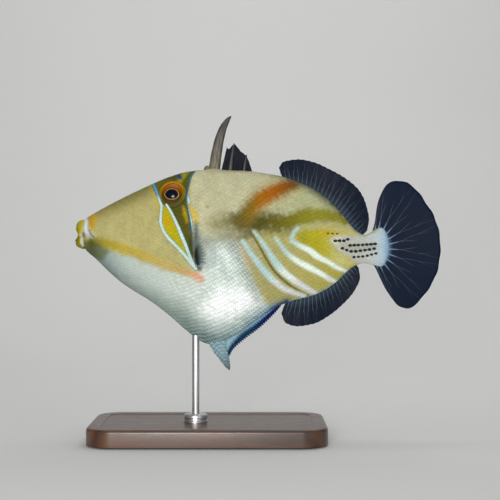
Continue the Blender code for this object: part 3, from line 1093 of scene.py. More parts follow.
class Markings:
    """The fish's colours and lines, as places on its flank seen from the side, with painted shade along its
    top and bottom edges, at the gill slit and round the pectoral fin's root, and a painted highlight on the
    belly.
    """

    CHEEK = paint(173, 166, 110)
    BACK = paint(180, 178, 145)
    REAR = paint(168, 170, 129)
    MOUTH = paint(96, 62, 56)
    EYE_RING = (paint(126, 104, 10), paint(164, 110, 0), paint(82, 76, 16), paint(40, 34, 14))

    BELLY_EDGE = (
        (-95.5, 106.4), (-88.4, 104.9), (-81.9, 103.2), (-74.8, 101.4), (-67, 99), (-58.1, 95.4),
        (-49.2, 92.5), (-41.5, 90.1), (-33.2, 88.3), (-30, 92), (-28.5, 98.5), (-27.7, 104.3), (-24.5, 108.6),
        (-15.5, 109), (-10.5, 107.5), (-8, 103), (-6.3, 97.7), (-3, 89.9), (0.5, 83), (4.5, 76.5), (8, 70),
    )
    EYE_BAND = Patch((
        (-56.6, 141.5), (-50, 146.5), (-40, 150), (-33.6, 150), (-34.4, 146.6), (-36.9, 142.6),
        (-37.6, 137.3), (-38.3, 131.4), (-37.6, 125.4), (-35.8, 119.5), (-35.2, 111.2), (-34.6, 99.3),
        (-35.8, 97.5), (-38.5, 106.4), (-42.7, 114.7), (-46.9, 124.2), (-49.8, 127.2), (-54, 133.1),
        (-56.4, 137.9),
    ))
    # Soft tints: most are the fish's own colours; those marked below are painted shade or a painted
    # highlight.
    SOFT = (
        Tint(
            Patch((*BELLY_EDGE, (40, 40), (-40, 20), (-110, 80), (-110, 104))),
            (
                (-95, (112, 124, 116)), (-86, (136, 153, 150)), (-70, (176, 189, 184)),
                (-45, (194, 203, 195)), (-15, (214, 224, 216)), (8, (202, 212, 202)),
            ), 2, 1, 0.7, 7,
        ),
        # Painted highlight: a soft white pool of light on the belly.
        Tint(
            Stroke(((-26, 71), (-16, 75), (-7, 76.5)), (4, 9, 6.5)), ((-16, (255, 255, 255)),), 7, 1, 0.8, 6,
        ),
        # Painted shade: darker grey-teal along the belly's lower edge, where it turns under, away from the
        # light.
        Tint(
            Stroke(
                ((-90, 96), (-70, 78), (-50, 63), (-36, 52.5), (-22, 48.5), (-10, 52), (2, 60)),
                (2.5, 13.5, 9.5),
            ),
            (
                (-90, (66, 78, 70)), (-62, (112, 128, 120)), (-45, (112, 134, 126)), (-30, (64, 96, 100)),
                (-16, (84, 118, 124)), (4, (112, 140, 148)),
            ), 8, 0.9, 0.6, 8,
        ),
        Tint(
            Stroke(((-26, 107.6), (-18, 108.6), (-11, 105)), (2, 3.2, 2)),
            ((-24, (158, 164, 148)), (-16, (134, 138, 118))), 5.5, 0.9, 1, 4,
        ),
        Tint(
            Stroke(((-12.5, 106), (-9, 98), (-5, 88), (0, 78)), (2, 3.4, 1.6)), ((-9, (148, 158, 148)),),
            5, 0.85, 0.8, 4,
        ),
        Tint(
            Stroke(((-24, 103), (-20, 96), (-16, 88)), (1, 2, 1)), ((-20, (176, 190, 190)),), 3.5, 0.6, 1, 4,
        ),
        Tint(
            Patch((
                (-11, 110), (-9, 104), (-7.2, 98), (-4, 90.5), (-0.6, 83.5), (4, 75), (26, 72), (40, 78),
                (54, 90), (52, 96), (38, 106), (24, 113.5), (8, 114), (-6, 115),
            )), ((-8, (158, 156, 120)), (2, (162, 156, 100)), (22, (170, 162, 96)), (45, (166, 158, 60))),
            2, 0.95, 0.6,
        ),
        Tint(
            Stroke(((-9, 105), (-7, 100), (-4.6, 94)), (0.6, 1, 0.6)), ((-7, (200, 164, 126)),),
            1.6, 0.5, 0.3,
        ),
        Tint(
            Stroke(((-5, 61), (2, 65.8), (7.5, 69.8), (11.5, 72.4), (16, 74.6)), (1, 3.4, 2.4)),
            ((-4, (84, 124, 144)), (6, (76, 130, 160)), (15, (64, 92, 104))), 3, 0.9, 0.5, 3,
        ),
        Tint(
            Stroke(((2, 65), (7.5, 69.2), (11.5, 71.8), (16, 74)), (0.4, 2.3, 1.6)),
            ((4, (14, 44, 100)), (14, (4, 20, 84))), 1.8, 0.95, 0.5, 2,
        ),
        Tint(
            Stroke(
                (
                    (-22, 117.5), (-12.1, 119), (-6.1, 118), (-0.2, 118.6), (5.7, 118.6), (11.7, 117.4),
                    (16.5, 116.6),
                ), (3.6, 6.6, 3.4),
            ), ((-20, (138, 134, 92)), (-10, (82, 78, 32)), (0, (76, 72, 16)), (14, (92, 88, 18))),
            4.5, 1, 1.2, 5,
        ),
        Tint(
            Stroke(((-21, 112), (-14, 111), (-8, 110.5), (-4, 112)), (1.2, 2.2, 1.4)),
            ((-20, (150, 150, 128)), (-6, (98, 92, 50))), 3.4, 0.75, 1.2, 4,
        ),
        Tint(
            Stroke(
                ((-8.5, 118), (-5, 122.6), (-2, 126.6), (2.6, 130.4), (8.4, 133.6), (14.4, 136.6), (20, 139)),
                (3, 4.6, 3.4),
            ), ((-8, (94, 86, 36)), (1, (162, 132, 54)), (20, (150, 120, 50))), 3.6, 0.75, 0.8, 4,
        ),
        Tint(
            Stroke(
                (
                    (-9.2, 118.6), (-6.2, 122.9), (-2.9, 127.2), (1.8, 131.1), (7.5, 134.4), (13.7, 137.5),
                    (19.6, 139.8),
                ), (2.8, 4, 3),
            ),
            (
                (-9, (100, 88, 26)), (-4, (128, 96, 8)), (2, (154, 94, 0)), (8, (154, 86, 0)),
                (20, (108, 62, 0)),
            ), 2.6, 1, 0.9, 3,
        ),
        Tint(
            Stroke(((-9, 128), (-4, 134), (3, 139), (12, 142)), (0.6, 1.2, 0.6)),
            ((-9, (160, 148, 100)), (12, (166, 146, 96))), 2.4, 0.6, 0.5, 4,
        ),
        Tint(
            Stroke(
                ((9, 117.6), (15, 118.6), (22, 120.5), (30, 121.9), (38, 122.2), (47.5, 119.6)),
                (3, 4.4, 2.4),
            ), ((10, (98, 92, 22)), (20, (118, 112, 18)), (30, (134, 130, 32)), (48, (130, 126, 34))),
            2.2, 0.97, 0.7, 5,
        ),
        Tint(
            Stroke(((20, 115.2), (32.4, 116.2), (44.3, 116.6), (49.5, 114.6)), (0.8, 1.4, 0.8)),
            ((22, (168, 164, 106)), (48, (174, 162, 92))), 1.2, 0.85, 0.4,
        ),
        Tint(
            Patch((
                (21.6, 112.6), (23.5, 114), (32.4, 114.6), (41.4, 114.6), (49.5, 113.6), (55.5, 112.2),
                (52.8, 110.6), (46, 111.3), (41.4, 111), (38.9, 108.6), (43.2, 102.8), (51, 98.4),
                (55.6, 95.4), (53.2, 93.3), (49.3, 92), (44, 92.4), (38, 95.2), (31.3, 100.2), (24, 105),
                (20.8, 108.6),
            )),
            (
                (22, (156, 150, 36)), (31, (166, 158, 16)), (37, (174, 166, 50)), (43, (188, 184, 118)),
                (55, (184, 176, 106)),
            ), 1.4, 0.95, 0.8, 4,
        ),
        Tint(
            Stroke(((27, 112), (33, 112.2), (40, 112.8), (47.5, 112.9)), (0.8, 1.5, 0.7)),
            ((27, (174, 166, 20)), (48, (186, 152, 40))), 1.2, 0.8, 0.4,
        ),
        Tint(
            Patch((
                (38.9, 108.7), (41.9, 110.9), (47.3, 111.5), (53.5, 111.2), (58.6, 111.2), (64, 113),
                (75, 120), (75, 88), (58.6, 93), (55.4, 95.6), (50.6, 99.4), (44, 102.9),
            )),
            (
                (40, (196, 194, 176)), (50, (176, 178, 168)), (60, (182, 186, 182)), (66, (176, 190, 198)),
                (72, (134, 172, 202)),
            ), 1, 1, 0.3,
        ),
        Tint(
            Stroke(((46, 106.4), (52, 104.4), (64, 105.2)), (0.8, 1.8, 1.4)), ((50, (136, 140, 127)),),
            2.2, 0.45, 0.4, 3,
        ),
        Tint(
            Stroke(((17, 75.4), (29.6, 78.8), (42.8, 86.2), (49, 92)), (0.2, 0.5, 0.2)),
            ((20, (120, 156, 164)), (48, (150, 178, 174))), 1.1, 0.75, 0.2,
        ),
        # Painted shade: a dark strip along the back's top edge, from behind the first dorsal fin to the tail
        # stalk.
        Tint(
            Stroke(((56, 116.5), (44, 126.5), (31, 136.2), (15, 143.6), (-2, 148)), (1.6, 2, 1.2)),
            ((-2, (120, 116, 80)), (20, (78, 84, 62)), (36, (58, 70, 64)), (56, (80, 76, 40))),
            3.2, 0.92, 0.5, 5,
        ),
        # Painted shade along the back's top edge under the first dorsal fin.
        Tint(
            Stroke(((-39, 150), (-28, 149.4), (-18, 149.6), (-4, 149)), (1.2, 2.2, 1.6)),
            ((-35, (150, 142, 100)), (-5, (128, 122, 88))), 3.6, 0.8, 0.6, 5,
        ),
        # Painted shade: the forehead darker towards its top edge.
        Tint(
            Stroke(((-86, 123.5), (-74, 129), (-62, 134.5)), (1, 2.6, 3)), ((-74, (126, 116, 58)),),
            7.5, 0.55, 0.5, 6,
        ),
        # Painted shade: dark olive along the forehead's top edge.
        Tint(
            Stroke(((-94, 122.5), (-80, 130.4), (-64, 138.6), (-57.5, 141.4)), (1.2, 3.8, 3.8)),
            ((-90, (112, 98, 26)), (-60, (66, 70, 20))), 7, 0.95, 0.4, 5,
        ),
        Tint(
            Patch((
                (-57.8, 141), (-55, 138.5), (-52.8, 131), (-51.2, 126.2), (-51.6, 120.4), (-50.6, 112.8),
                (-52.6, 113), (-53.2, 119.8), (-54.6, 126.5), (-56.8, 133), (-59.8, 139.6),
            )), ((-56, (182, 160, 48)), (-51, (176, 164, 66))), 1.2, 0.75, 0.4,
        ),
        Tint(
            Stroke(((-60, 140.6), (-58.4, 137.6), (-57.4, 135.4)), (0.5, 1.1, 0.6)), ((-58, (120, 92, 18)),),
            1, 0.45, 0.2,
        ),
        Tint(EYE_BAND, ((-55, (98, 96, 12)), (-46, (76, 74, 6)), (-36, (70, 82, 16))), 0.5, 1, 0.15),
        # Painted shade along the head's top edge over the eye band.
        Tint(
            Stroke(((-56.5, 141.6), (-49.2, 145), (-39.4, 148), (-34, 149)), (0.5, 0.8, 0.5)),
            ((-46, (52, 58, 30)),), 3.4, 0.85, 0.2,
        ),
        Tint(
            Patch(((-42.6, 127), (-38.4, 127), (-36.2, 119), (-35.6, 104), (-38.6, 110), (-42.4, 119))),
            ((-40, (84, 76, 4)),), 1.3, 0.75, 0.3,
        ),
        Tint(
            Stroke(((-40.2, 126.5), (-39, 122.5), (-38.2, 118.5)), (0.6, 1.1, 0.6)), ((-39, (172, 152, 14)),),
            1, 0.8, 0.2,
        ),
        Tint(
            Stroke(((-43.5, 139.5), (-40.5, 143.5), (-38.5, 147)), (1, 1.4, 1.2)), ((-41, (152, 140, 26)),),
            1.1, 0.8, 0.3,
        ),
        Tint(
            Patch((
                (-51.6, 127), (-49, 126.8), (-46.2, 122.2), (-43.8, 117.4), (-41.3, 111.6), (-38.6, 105),
                (-36.6, 99.6), (-39.2, 101.6), (-44.1, 106.4), (-48.2, 110.5), (-51.2, 115.2), (-52.3, 119.4),
                (-52, 123),
            )), ((-50, (176, 162, 0)), (-44, (172, 162, 4))), 0.5, 1, 0.1,
        ),
        Tint(
            Stroke(((-49.9, 121.6), (-49.2, 119.2), (-48, 116.8)), (0.4, 0.9, 0.4)), ((-49, (206, 140, 0)),),
            1, 0.85, 0.1,
        ),
        Tint(
            Stroke(((-36.3, 126.9), (-35, 124.2), (-33.6, 121.4), (-33, 118.4)), (0.6, 1.5, 0.9)),
            ((-36, (204, 168, 30)), (-32, (206, 180, 50))), 1.2, 0.9, 0.3,
        ),
        Tint(
            Stroke(
                (
                    (-89.6, 107.6), (-84.9, 107.6), (-80.1, 106.2), (-72.4, 104), (-64.1, 101.2),
                    (-54.6, 97.6), (-46.3, 94.4), (-40.3, 92), (-33.6, 89.8),
                ), (2.6, 2.2, 1.3),
            ),
            (
                (-91, (104, 98, 22)), (-84, (150, 136, 26)), (-74, (176, 158, 44)), (-60, (184, 162, 70)),
                (-48, (190, 166, 100)), (-38, (194, 156, 104)), (-32, (204, 156, 116)),
            ), 1.6, 0.9, 0.5, 5,
        ),
        Tint(
            Stroke(((-33.8, 90), (-32, 88.4), (-30.8, 87)), (1.4, 2.4, 1.6)), ((-32, (212, 152, 116)),),
            1.8, 0.8, 0.4,
        ),
        Tint(
            Patch((
                (-94.6, 109.6), (-89.5, 108.4), (-84, 106), (-80.6, 102.6), (-84.6, 97.6), (-90, 99),
                (-97, 103.5), (-97, 107),
            )), ((-95, (82, 84, 34)), (-90, (66, 72, 28)), (-84, (94, 106, 66))), 1.9, 0.85, 0.3,
        ),
        Tint(
            Patch((
                (-90.6, 123.6), (-87.6, 122), (-87.4, 118.6), (-88.6, 114.2), (-90.6, 114.8), (-91.8, 117.8),
                (-92.8, 121.6),
            )), ((-91, (176, 138, 10)), (-88, (178, 152, 44))), 1.1, 0.9, 0.2,
        ),
        Tint(
            Patch(((-102, 123), (-95.2, 122), (-94.9, 118.6), (-95.9, 115.4), (-95.8, 112.4), (-102, 111.8))),
            ((-100, (146, 138, 4)), (-95, (164, 152, 30))), 0.5, 1, 0.1,
        ),
        Tint(
            Patch(((-102, 111.4), (-96.4, 111), (-95.2, 107.6), (-95.8, 103.5), (-102, 102))),
            ((-100, (122, 116, 10)), (-96, (136, 128, 30))), 0.5, 1, 0.1,
        ),
        Tint(
            Stroke(((-95.7, 109.4), (-95.7, 107.4), (-95.3, 105.6)), (0.5, 0.8, 0.4)),
            ((-95, (206, 208, 190)),), 0.6, 0.8, 0.1,
        ),
        Tint(
            Stroke(
                ((-94.4, 121), (-93.3, 118.4), (-93.4, 115.2), (-92.3, 112.6), (-90, 110.7)),
                (0.9, 1.05, 0.7),
            ), ((-94, (200, 206, 212)), (-91, (158, 168, 190))), 0.5, 1, 0.1,
        ),
        Tint(
            Stroke(((-94.9, 112.6), (-94.4, 111), (-93.9, 110.2)), (0.4, 0.8, 0.4)), ((-94, (52, 64, 128)),),
            0.6, 0.9, 0.1,
        ),
        Tint(
            Stroke(((-91.5, 114.2), (-90.6, 111.8), (-89, 110.4)), (0.3, 0.4, 0.3)), ((-91, (70, 70, 96)),),
            0.5, 0.7, 0.1,
        ),
        # Painted shade: a darker band behind the gill slit, round the pectoral fin's root.
        Tint(
            Stroke(((-33.4, 117), (-33.2, 111), (-32.6, 105), (-31.2, 98)), (0.8, 2.8, 2.4)),
            ((-35, (68, 82, 60)), (-32, (72, 94, 98)), (-29, (112, 134, 134))), 3, 0.92, 0.5, 3,
        ),
        # Painted shade: a dark line in the gill slit.
        Tint(
            Stroke(((-36.4, 110), (-36.2, 106.5), (-35.2, 102)), (0.5, 1, 0.6)), ((-36, (54, 62, 28)),),
            1.2, 0.8, 0.3,
        ),
        Tint(
            Stroke(((-32.8, 116), (-33.6, 110), (-34.2, 104.5)), (0.4, 0.7, 0.6)), ((-33, (84, 92, 110)),),
            0.7, 0.8, 0.2,
        ),
        # Painted shade on the pectoral fin's root, darkest at its front.
        Tint(
            Patch((
                (-33.4, 105.6), (-30.6, 106.2), (-28.8, 102.4), (-28.8, 97), (-30.4, 93.2), (-32.6, 94.4),
                (-33.8, 99),
            )), ((-33, (54, 64, 58)), (-31, (80, 96, 96)), (-29, (114, 134, 134))), 1.4, 0.85, 0.3,
        ),
        # Painted shadow: the near-black gill opening beside the pectoral fin's root.
        Tint(
            Stroke(((-33.2, 103.4), (-33, 99.8), (-32.4, 95.6)), (0.8, 1.7, 0.9)), ((-32, (24, 30, 22)),),
            1.2, 0.97, 0.2,
        ),
        Tint(
            Stroke(((-33.6, 96.6), (-32.6, 94), (-31, 92.8)), (0.5, 0.9, 0.5)), ((-32, (22, 40, 84)),),
            0.8, 0.9, 0.1,
        ),
        Tint(
            Stroke(((-27.4, 126.7), (-27, 126.5)), (0.5, 0.5, 0.5)), ((-27, (140, 104, 60)),), 0.6, 0.7, 0.1,
        ),
    )
    CRISP = {
        "white_stripe": (
            Stroke(
                (
                    (-8.2, 108.2), (-4.9, 103), (-0.7, 97.4), (4.2, 91.2), (9.4, 85.9), (16, 81.5),
                    (25.5, 78.2),
                ), (1.1, 1.9, 1.1),
            ),
            Stroke(
                (
                    (-2.2, 113.4), (1.9, 108.2), (6.1, 101.9), (10.3, 95.6), (14.5, 90.9), (20.8, 86.2),
                    (31.5, 79.6),
                ), (0.6, 2, 1.4),
            ),
            Stroke(
                (
                    (9.6, 109.8), (11.5, 107), (15.5, 101.9), (20.8, 97.7), (27.6, 94), (34.4, 90.4),
                    (40.1, 87), (46, 84.8),
                ), (0.8, 1.8, 1),
            ),
            Stroke(
                (
                    (21.6, 115.2), (18.9, 112.2), (18.1, 109.2), (21.8, 106.1), (28.1, 103), (32.3, 99.8),
                    (37.5, 97.2), (43.8, 93.5), (49.5, 91.2),
                ), (0.8, 1.75, 0.9),
            ),
        ),
        "olive_line": (
            Stroke(
                ((-3.4, 112.2), (0.4, 105.9), (3.9, 99.6), (8.4, 92.6), (14, 87), (20, 82.6), (27.5, 78.6)),
                (0.5, 0.65, 0.45),
            ),
        ),
        "pale_line": (
            Stroke(
                (
                    (-58, 141.6), (-56.6, 138.4), (-55.2, 135.4), (-53.9, 132.2), (-52.9, 129.4),
                    (-52.1, 127.2), (-52.3, 123.3), (-52.5, 119.1), (-51.4, 114.9), (-48.3, 110),
                    (-44.1, 105.8), (-39.6, 100.9), (-35.9, 96.2), (-33.4, 93.4),
                ), (0.5, 0.85, 0.9),
            ),
            Stroke(
                (
                    (-49.4, 127.8), (-48.1, 126), (-46.2, 122.6), (-43.8, 117.7), (-41.3, 111.8),
                    (-38.5, 105.1), (-36.1, 98.8), (-34.4, 95.2),
                ), (0.55, 0.95, 0.7),
            ),
            Stroke(((-37.9, 133.2), (-37.4, 130.6), (-36.9, 127.6)), (0.2, 0.7, 0.2)),
            Stroke(((-37.4, 125.6), (-36.3, 121.4), (-35.5, 117.2), (-35.1, 113.2)), (0.2, 0.35, 0.2)),
        ),
        "blue_line": (
            Stroke(((-58, 141.8), (-56.6, 138.8), (-55.4, 135.6), (-54.4, 132.9)), (1.2, 1, 0.5)),
            Stroke(((-51.8, 144.2), (-50.6, 142.3)), (1, 0.9, 0.5)),
            Stroke(((-44, 147.2), (-43.4, 143.9), (-41.8, 142.6)), (1.4, 1.1, 0.7)),
            Stroke(
                ((-34, 148), (-36.6, 142.6), (-37.4, 138.5), (-38.3, 134.6), (-38.9, 131)), (0.6, 0.35, 0.2),
            ),
            Stroke(((-38.6, 128), (-37.5, 123.4), (-36.5, 118.6), (-35.9, 112.6)), (0.1, 0.2, 0.15)),
        ),
    }

    def ground(self, points: Array) -> Array:
        """The soft colours at points of either flank, painted shade and painted highlight included.

        Args:
            points: places in mm.

        Returns:
            A (places, 3) array of linear colours.
        """
        x, z = points[:, 0], points[:, 2]
        rear = ease(-4, 24, x)[:, None]
        head = ease(-34, -39, x)[:, None]
        colour = self.BACK * (1 - rear) + self.REAR * rear
        colour = colour * (1 - head) + self.CHEEK * head
        colour = colour * (1 + 0.05 * ripple(x, z, 16, 5) + 0.04 * ripple(x, z, 5, 6))[:, None]
        for tint in self.SOFT:
            colour = tint.lay(colour, x, z)
        for side in Side:
            self.ring_eye(colour, points, EyeSeat(side))
        return np.clip(colour, 0, 1)

    def ring_eye(self, colour: Array, points: Array, seat: EyeSeat) -> None:
        """Lays the coloured ring round an eye over the colours.

        Args:
            colour: (places, 3) linear colours, changed in place.
            points: the places.
            seat: the eye.
        """
        near = (np.abs(points[:, 0] - seat.x) < 12) & (points[:, 2] > 118) & (points[:,
                                                                                     1] * seat.side.value > 1)
        forward, upward, _ = seat.measure(points[near])
        upward = upward + 0.5
        radius, turn = np.hypot(forward, upward), np.arctan2(upward, forward)
        base, top, bottom, dark = self.EYE_RING
        gold = base + (top - base) * ease(0.1, 0.9, np.sin(turn))[:, None]
        low = ease(0, -0.9, np.sin(turn))[:, None]
        gold = gold * (1 - low) + bottom * low
        ring = ease(7.7, 7.2, radius)[:, None]
        shade = colour[near] * (1 - ring) + gold * ring
        rim = 0.8 * hump(radius - 5.55, 0.28)
        edge = hump(radius - 7.75, 0.38) * (0.35 + 0.6 * ease(-0.2, -0.9, np.sin(turn + 0.6)))
        crescent = 0.55 * hump(radius - 6.6, 0.22) * ease(0, 0.8, np.cos(turn + 2.5))
        cover = np.clip(rim + edge + crescent, 0, 0.95)[:, None]
        colour[near] = shade * (1 - cover) + dark * cover

    def bright(self, x: Array, z: Array) -> Array:
        """Where the belly's white plates lie, 0 to 1: it sets their gaps, and in the materials their tone,
        painted shade and painted sheen.
        """
        return ease(2, -4, self.SOFT[0].shape.distance(x, z)) * ease(-62, -22, x)

    def dress(self, piece: Piece, inside: Array | None = None) -> None:
        """Stores the markings on a piece's vertices.

        Args:
            piece: the skin or a coat of scales.
            inside: how far in the mouth each vertex is, 0 to 1.
        """
        points = corners(piece)
        colour = self.ground(points)
        if inside is not None:
            colour = colour * (1 - inside[:, None]) + self.MOUTH * inside[:, None]
        write_colours(piece, "ground", colour)
        x, z = points[:, 0], points[:, 2]
        for name, shapes in self.CRISP.items():
            write_numbers(piece, name, signed(shapes, x, z, LINE_REACH))
        spots = np.concatenate([row.places() for row in SPINELET_ROWS])
        sizes = np.concatenate([np.full(row.count, row.size) for row in SPINELET_ROWS])
        near = x > 30
        away = np.full(len(points), LINE_REACH)
        rows = np.hypot((x[near, None] - spots[:, 0] + 0.2) / 1.35,
                        z[near, None] - spots[:, 1]) - 0.74 * sizes
        away[near] = np.minimum(LINE_REACH, rows.min(axis=1))
        write_numbers(piece, "dark_spot", away)
        # This number sets the belly's painted shade and painted sheen in the skin's and scales' materials.
        write_numbers(piece, "silver", self.bright(x, z))


# Finishes


class SharedEffects:
    """Shader groups that several finishes use."""

    LINES = ("White Stripe", "Olive Line", "Pale Line", "Blue Line", "Dark Spot")

    def __init__(self) -> None:
        """Builds each group once."""
        takes = {"Ground": None, **dict.fromkeys(self.LINES, LINE_REACH), "Wobble": 0.25}
        self.markings = shader_group("fish markings", takes, self.wire_markings)
        self.mottle = shader_group("pigment mottle", {"Color": None, "Grain": 1, "Amount": 0.2},
                                   self.wire_mottle)
        self.grain = shader_group("fine grain", {"Coarse": 1, "Fine": 0.3}, self.wire_grain, "Height")

    @staticmethod
    def wire_markings(graph: Graph, takes: dict) -> Socket:
        """Lines and spots laid over the ground colour, with slightly uneven edges.

        Args:
            graph: the group's graph.
            takes: its input sockets by name.

        Returns:
            The colour.
        """
        wave = graph.math("SUBTRACT", graph.noise(graph.place(), 1.6, 3), 0.5)
        x, _, height = graph.node("SeparateXYZ", {"Vector": graph.place()}).outputs
        back = graph.scaled(x, -1.3, height)
        stripe = graph.mix(graph.step(height, 0.082, 0.093), paint(208, 210, 214), paint(224, 236, 226))
        stripe = graph.mix(graph.step(back, 0.07, 0.085), stripe, paint(172, 202, 204))
        pale = graph.mix(graph.step(height, 0.13, 0.134), paint(188, 212, 204), paint(92, 150, 178))
        colour = takes["Ground"]
        for name, shade, low, high, strength in (
            ("Olive Line", paint(92, 88, 40), -0.35, 0.45, 0.85), ("White Stripe", paint(166, 178, 150), 0,
                                                                   1.2, 0.5),
            ("White Stripe", stripe, -1.1, 0.75, 0.95), ("Blue Line", paint(44, 84, 108), 0, 0.5, 0.8),
            ("Blue Line", paint(28, 44, 84), -0.75, -0.15, 0.85), ("Pale Line", paint(52, 96, 128), 0, 0.5,
                                                                   0.75),
            ("Pale Line", pale, -0.35, 0.25, 1), ("Dark Spot", paint(22, 22, 26), -0.12, 0.22, 1),
        ):
            away = graph.scaled(wave, takes["Wobble"], takes[name])
            colour = graph.mix(graph.step(away, low, high, strength, 0), colour, shade)
        return colour

    @staticmethod
    def wire_mottle(graph: Graph, takes: dict) -> Socket:
        """A colour made slightly lighter and darker in fine blotches.

        Args:
            graph: the group's graph.
            takes: its input sockets by name.

        Returns:
            The colour.
        """
        scale = graph.math("DIVIDE", 1 / MM, takes["Grain"])
        noise = graph.node("TexNoise", {"Vector": graph.place(), "Scale": scale, "Detail": 4,
                                        "Roughness": 0.6})
        value = graph.scaled(graph.math("SUBTRACT", noise.outputs[0], 0.5), takes["Amount"], 1)
        return graph.node("HueSaturation", {"Value": value, "Color": takes["Color"]}).outputs[0]

    @staticmethod
    def wire_grain(graph: Graph, takes: dict) -> Socket:
        """A rough height from a coarse and a fine noise.

        Args:
            graph: the group's graph.
            takes: its input sockets by name.

        Returns:
            The height.
        """
        total = 0
        for key, detail, share in (("Coarse", 3, 0.6), ("Fine", 2, 0.4)):
            scale = graph.math("DIVIDE", 1 / MM, takes[key])
            noise = graph.node("TexNoise", {"Vector": graph.place(), "Scale": scale, "Detail": detail})
            total = graph.scaled(noise.outputs[0], share, total)
        return total

    def marked(self, graph: Graph) -> Socket:
        """The fish's markings read from the mesh, in a material's graph."""
        lines = {key: graph.number(key.lower().replace(" ", "_")) for key in self.LINES}
        return graph.use(self.markings, {"Ground": graph.number("ground", "Color"), **lines, "Wobble": 0.35})

    def mottled(self, graph: Graph, colour: Socket, grain: float, amount: float) -> Socket:
        """A colour with blotches of a grain in mm."""
        return graph.use(self.mottle, {"Color": colour, "Grain": grain, "Amount": amount})

    def rough(self, graph: Graph, coarse: float, fine: float) -> Socket:
        """A height with a coarse and a fine grain in mm."""
        return graph.use(self.grain, {"Coarse": coarse, "Fine": fine})


@dataclass(frozen=True)
class SkinFinish:
    """Thin moist skin, with painted shade where it shows between the scales."""

    roughness: float = 0.42

    def build(self, effects: SharedEffects) -> Material:
        """Makes the material.

        Args:
            effects: the shared shader groups.

        Returns:
            The material.
        """
        made = Finish("fish skin", (0.6, 0.55, 0.35), Specular_IOR_Level=0.1)
        colour = effects.mottled(made, effects.marked(made), 1.3, 0.24)
        # Painted shade: where scales grow, the skin between them is multiplied by a darker colour, bluer on
        # the belly.
        shade = made.mix(made.number("silver"), paint(234, 228, 212), paint(206, 218, 216))
        between = made.scaled(made.number("bare"), -0.7, 0.7)
        grain = effects.rough(made, 0.9, 0.28)
        return made.give(Base_Color=made.mix(between, colour, shade, "MULTIPLY"),
                         Roughness=made.scaled(grain, 0.2, self.roughness), Normal=made.bump(grain, 0.09))


@dataclass(frozen=True)
class ScaleFinish:
    """Bony plates with a granular face, a random tone, painted shade towards each rim, and painted sheen at
    the centres of the belly's plates.
    """

    roughness: float = 0.36

    def build(self, effects: SharedEffects) -> Material:
        """Makes the material.

        Args:
            effects: the shared shader groups.

        Returns:
            The material.
        """
        made = Finish("fish scales", (0.65, 0.6, 0.4), Specular_IOR_Level=0.12)
        silver, rim = made.number("silver"), made.number("rim")
        tone = made.scaled(made.number("tone"), made.step(silver, 0, 1, 0.5, 1), 1)
        colour = effects.mottled(made, effects.marked(made), 0.9, 0.2)
        colour = made.node("HueSaturation", {"Value": tone, "Color": colour}).outputs[0]
        # Painted shade: each plate darkens towards its rim, more on the belly.
        edge = made.mix(silver, paint(214, 204, 172), paint(164, 186, 190))
        shaded = made.scaled(made.math("POWER", rim, 3), made.step(silver, 0, 1, 0.12, 0.26))
        colour = made.mix(shaded, colour, edge, "MULTIPLY")
        # Painted sheen: the centres of the belly's plates are lightened towards white.
        centre = made.scaled(made.step(rim, 0.75, 0.15), made.scaled(silver, 0.22))
        grain = effects.rough(made, 0.55, 0.22)
        return made.give(Base_Color=made.mix(centre, colour, paint(250, 252, 248)),
                         Roughness=made.scaled(grain, 0.22, self.roughness), Normal=made.bump(grain, 0.07))


@dataclass(frozen=True)
class EyeFinish:
    """A wet eyeball with a dark pupil, a thin pale ring and an orange iris."""

    wetness: float = 0.1

    def build(self) -> Material:
        """Makes the material.

        Returns:
            The material.
        """
        made = Finish("fish eye", (0.3, 0.2, 0.05), Roughness=0.16, Coat_Weight=self.wetness,
                      Coat_Roughness=0.05, IOR=1.2)
        pupil = made.number("pupil")
        iris = made.mix(made.step(made.number("eye_up"), -2.5, 3.5), paint(70, 56, 12), paint(128, 66, 0))
        iris = made.mix(made.scaled(made.noise(made.place(), 0.5, 3), 0.5), iris, paint(52, 32, 10))
        iris = made.mix(made.step(pupil, 1.3, 2, 0, 0.6), iris, paint(150, 92, 0))
        ring = made.mix(made.step(pupil, 0.5, 0.8), paint(170, 128, 84), iris)
        ring = made.mix(made.step(pupil, 0.25, 0.48), paint(40, 26, 16), ring)
        return made.give(Base_Color=made.mix(made.step(pupil, -0.1, 0.12), paint(8, 14, 24), ring))


@dataclass(frozen=True)
class MembraneFinish:
    """Thin fin skin, see-through, with a faint uneven grain."""

    name: str
    colour: Colour
    root_colour: Colour
    alpha: Pair
    root_reach: Pair = (0, 0.28)
    leading_colour: Colour | None = None

    def build(self, effects: SharedEffects) -> Material:
        """Makes the material.

        Args:
            effects: the shared shader groups.

        Returns:
            The material.
        """
        made = Finish(self.name, (0.2, 0.25, 0.3), Specular_IOR_Level=0.08, IOR=1.4)
        out, (start, end) = made.number("outward"), self.root_reach
        front = paint(*(self.leading_colour or self.colour))
        edge = made.mix(made.step(made.number("trailing"), 0.45, 0.8), front, paint(*self.colour))
        colour = made.mix(made.step(out, start, end), paint(*self.root_colour), edge)
        grain = effects.rough(made, 1.4, 0.4)
        thick = made.step(out, start, end + 0.2, *self.alpha)
        return made.give(Base_Color=effects.mottled(made, colour, 1.8, 0.35), Normal=made.bump(grain, 0.1),
                         Alpha=made.math("MULTIPLY", thick, made.scaled(grain, 0.5, 0.75), clamp=True),
                         Roughness=made.scaled(grain, 0.25, 0.36))


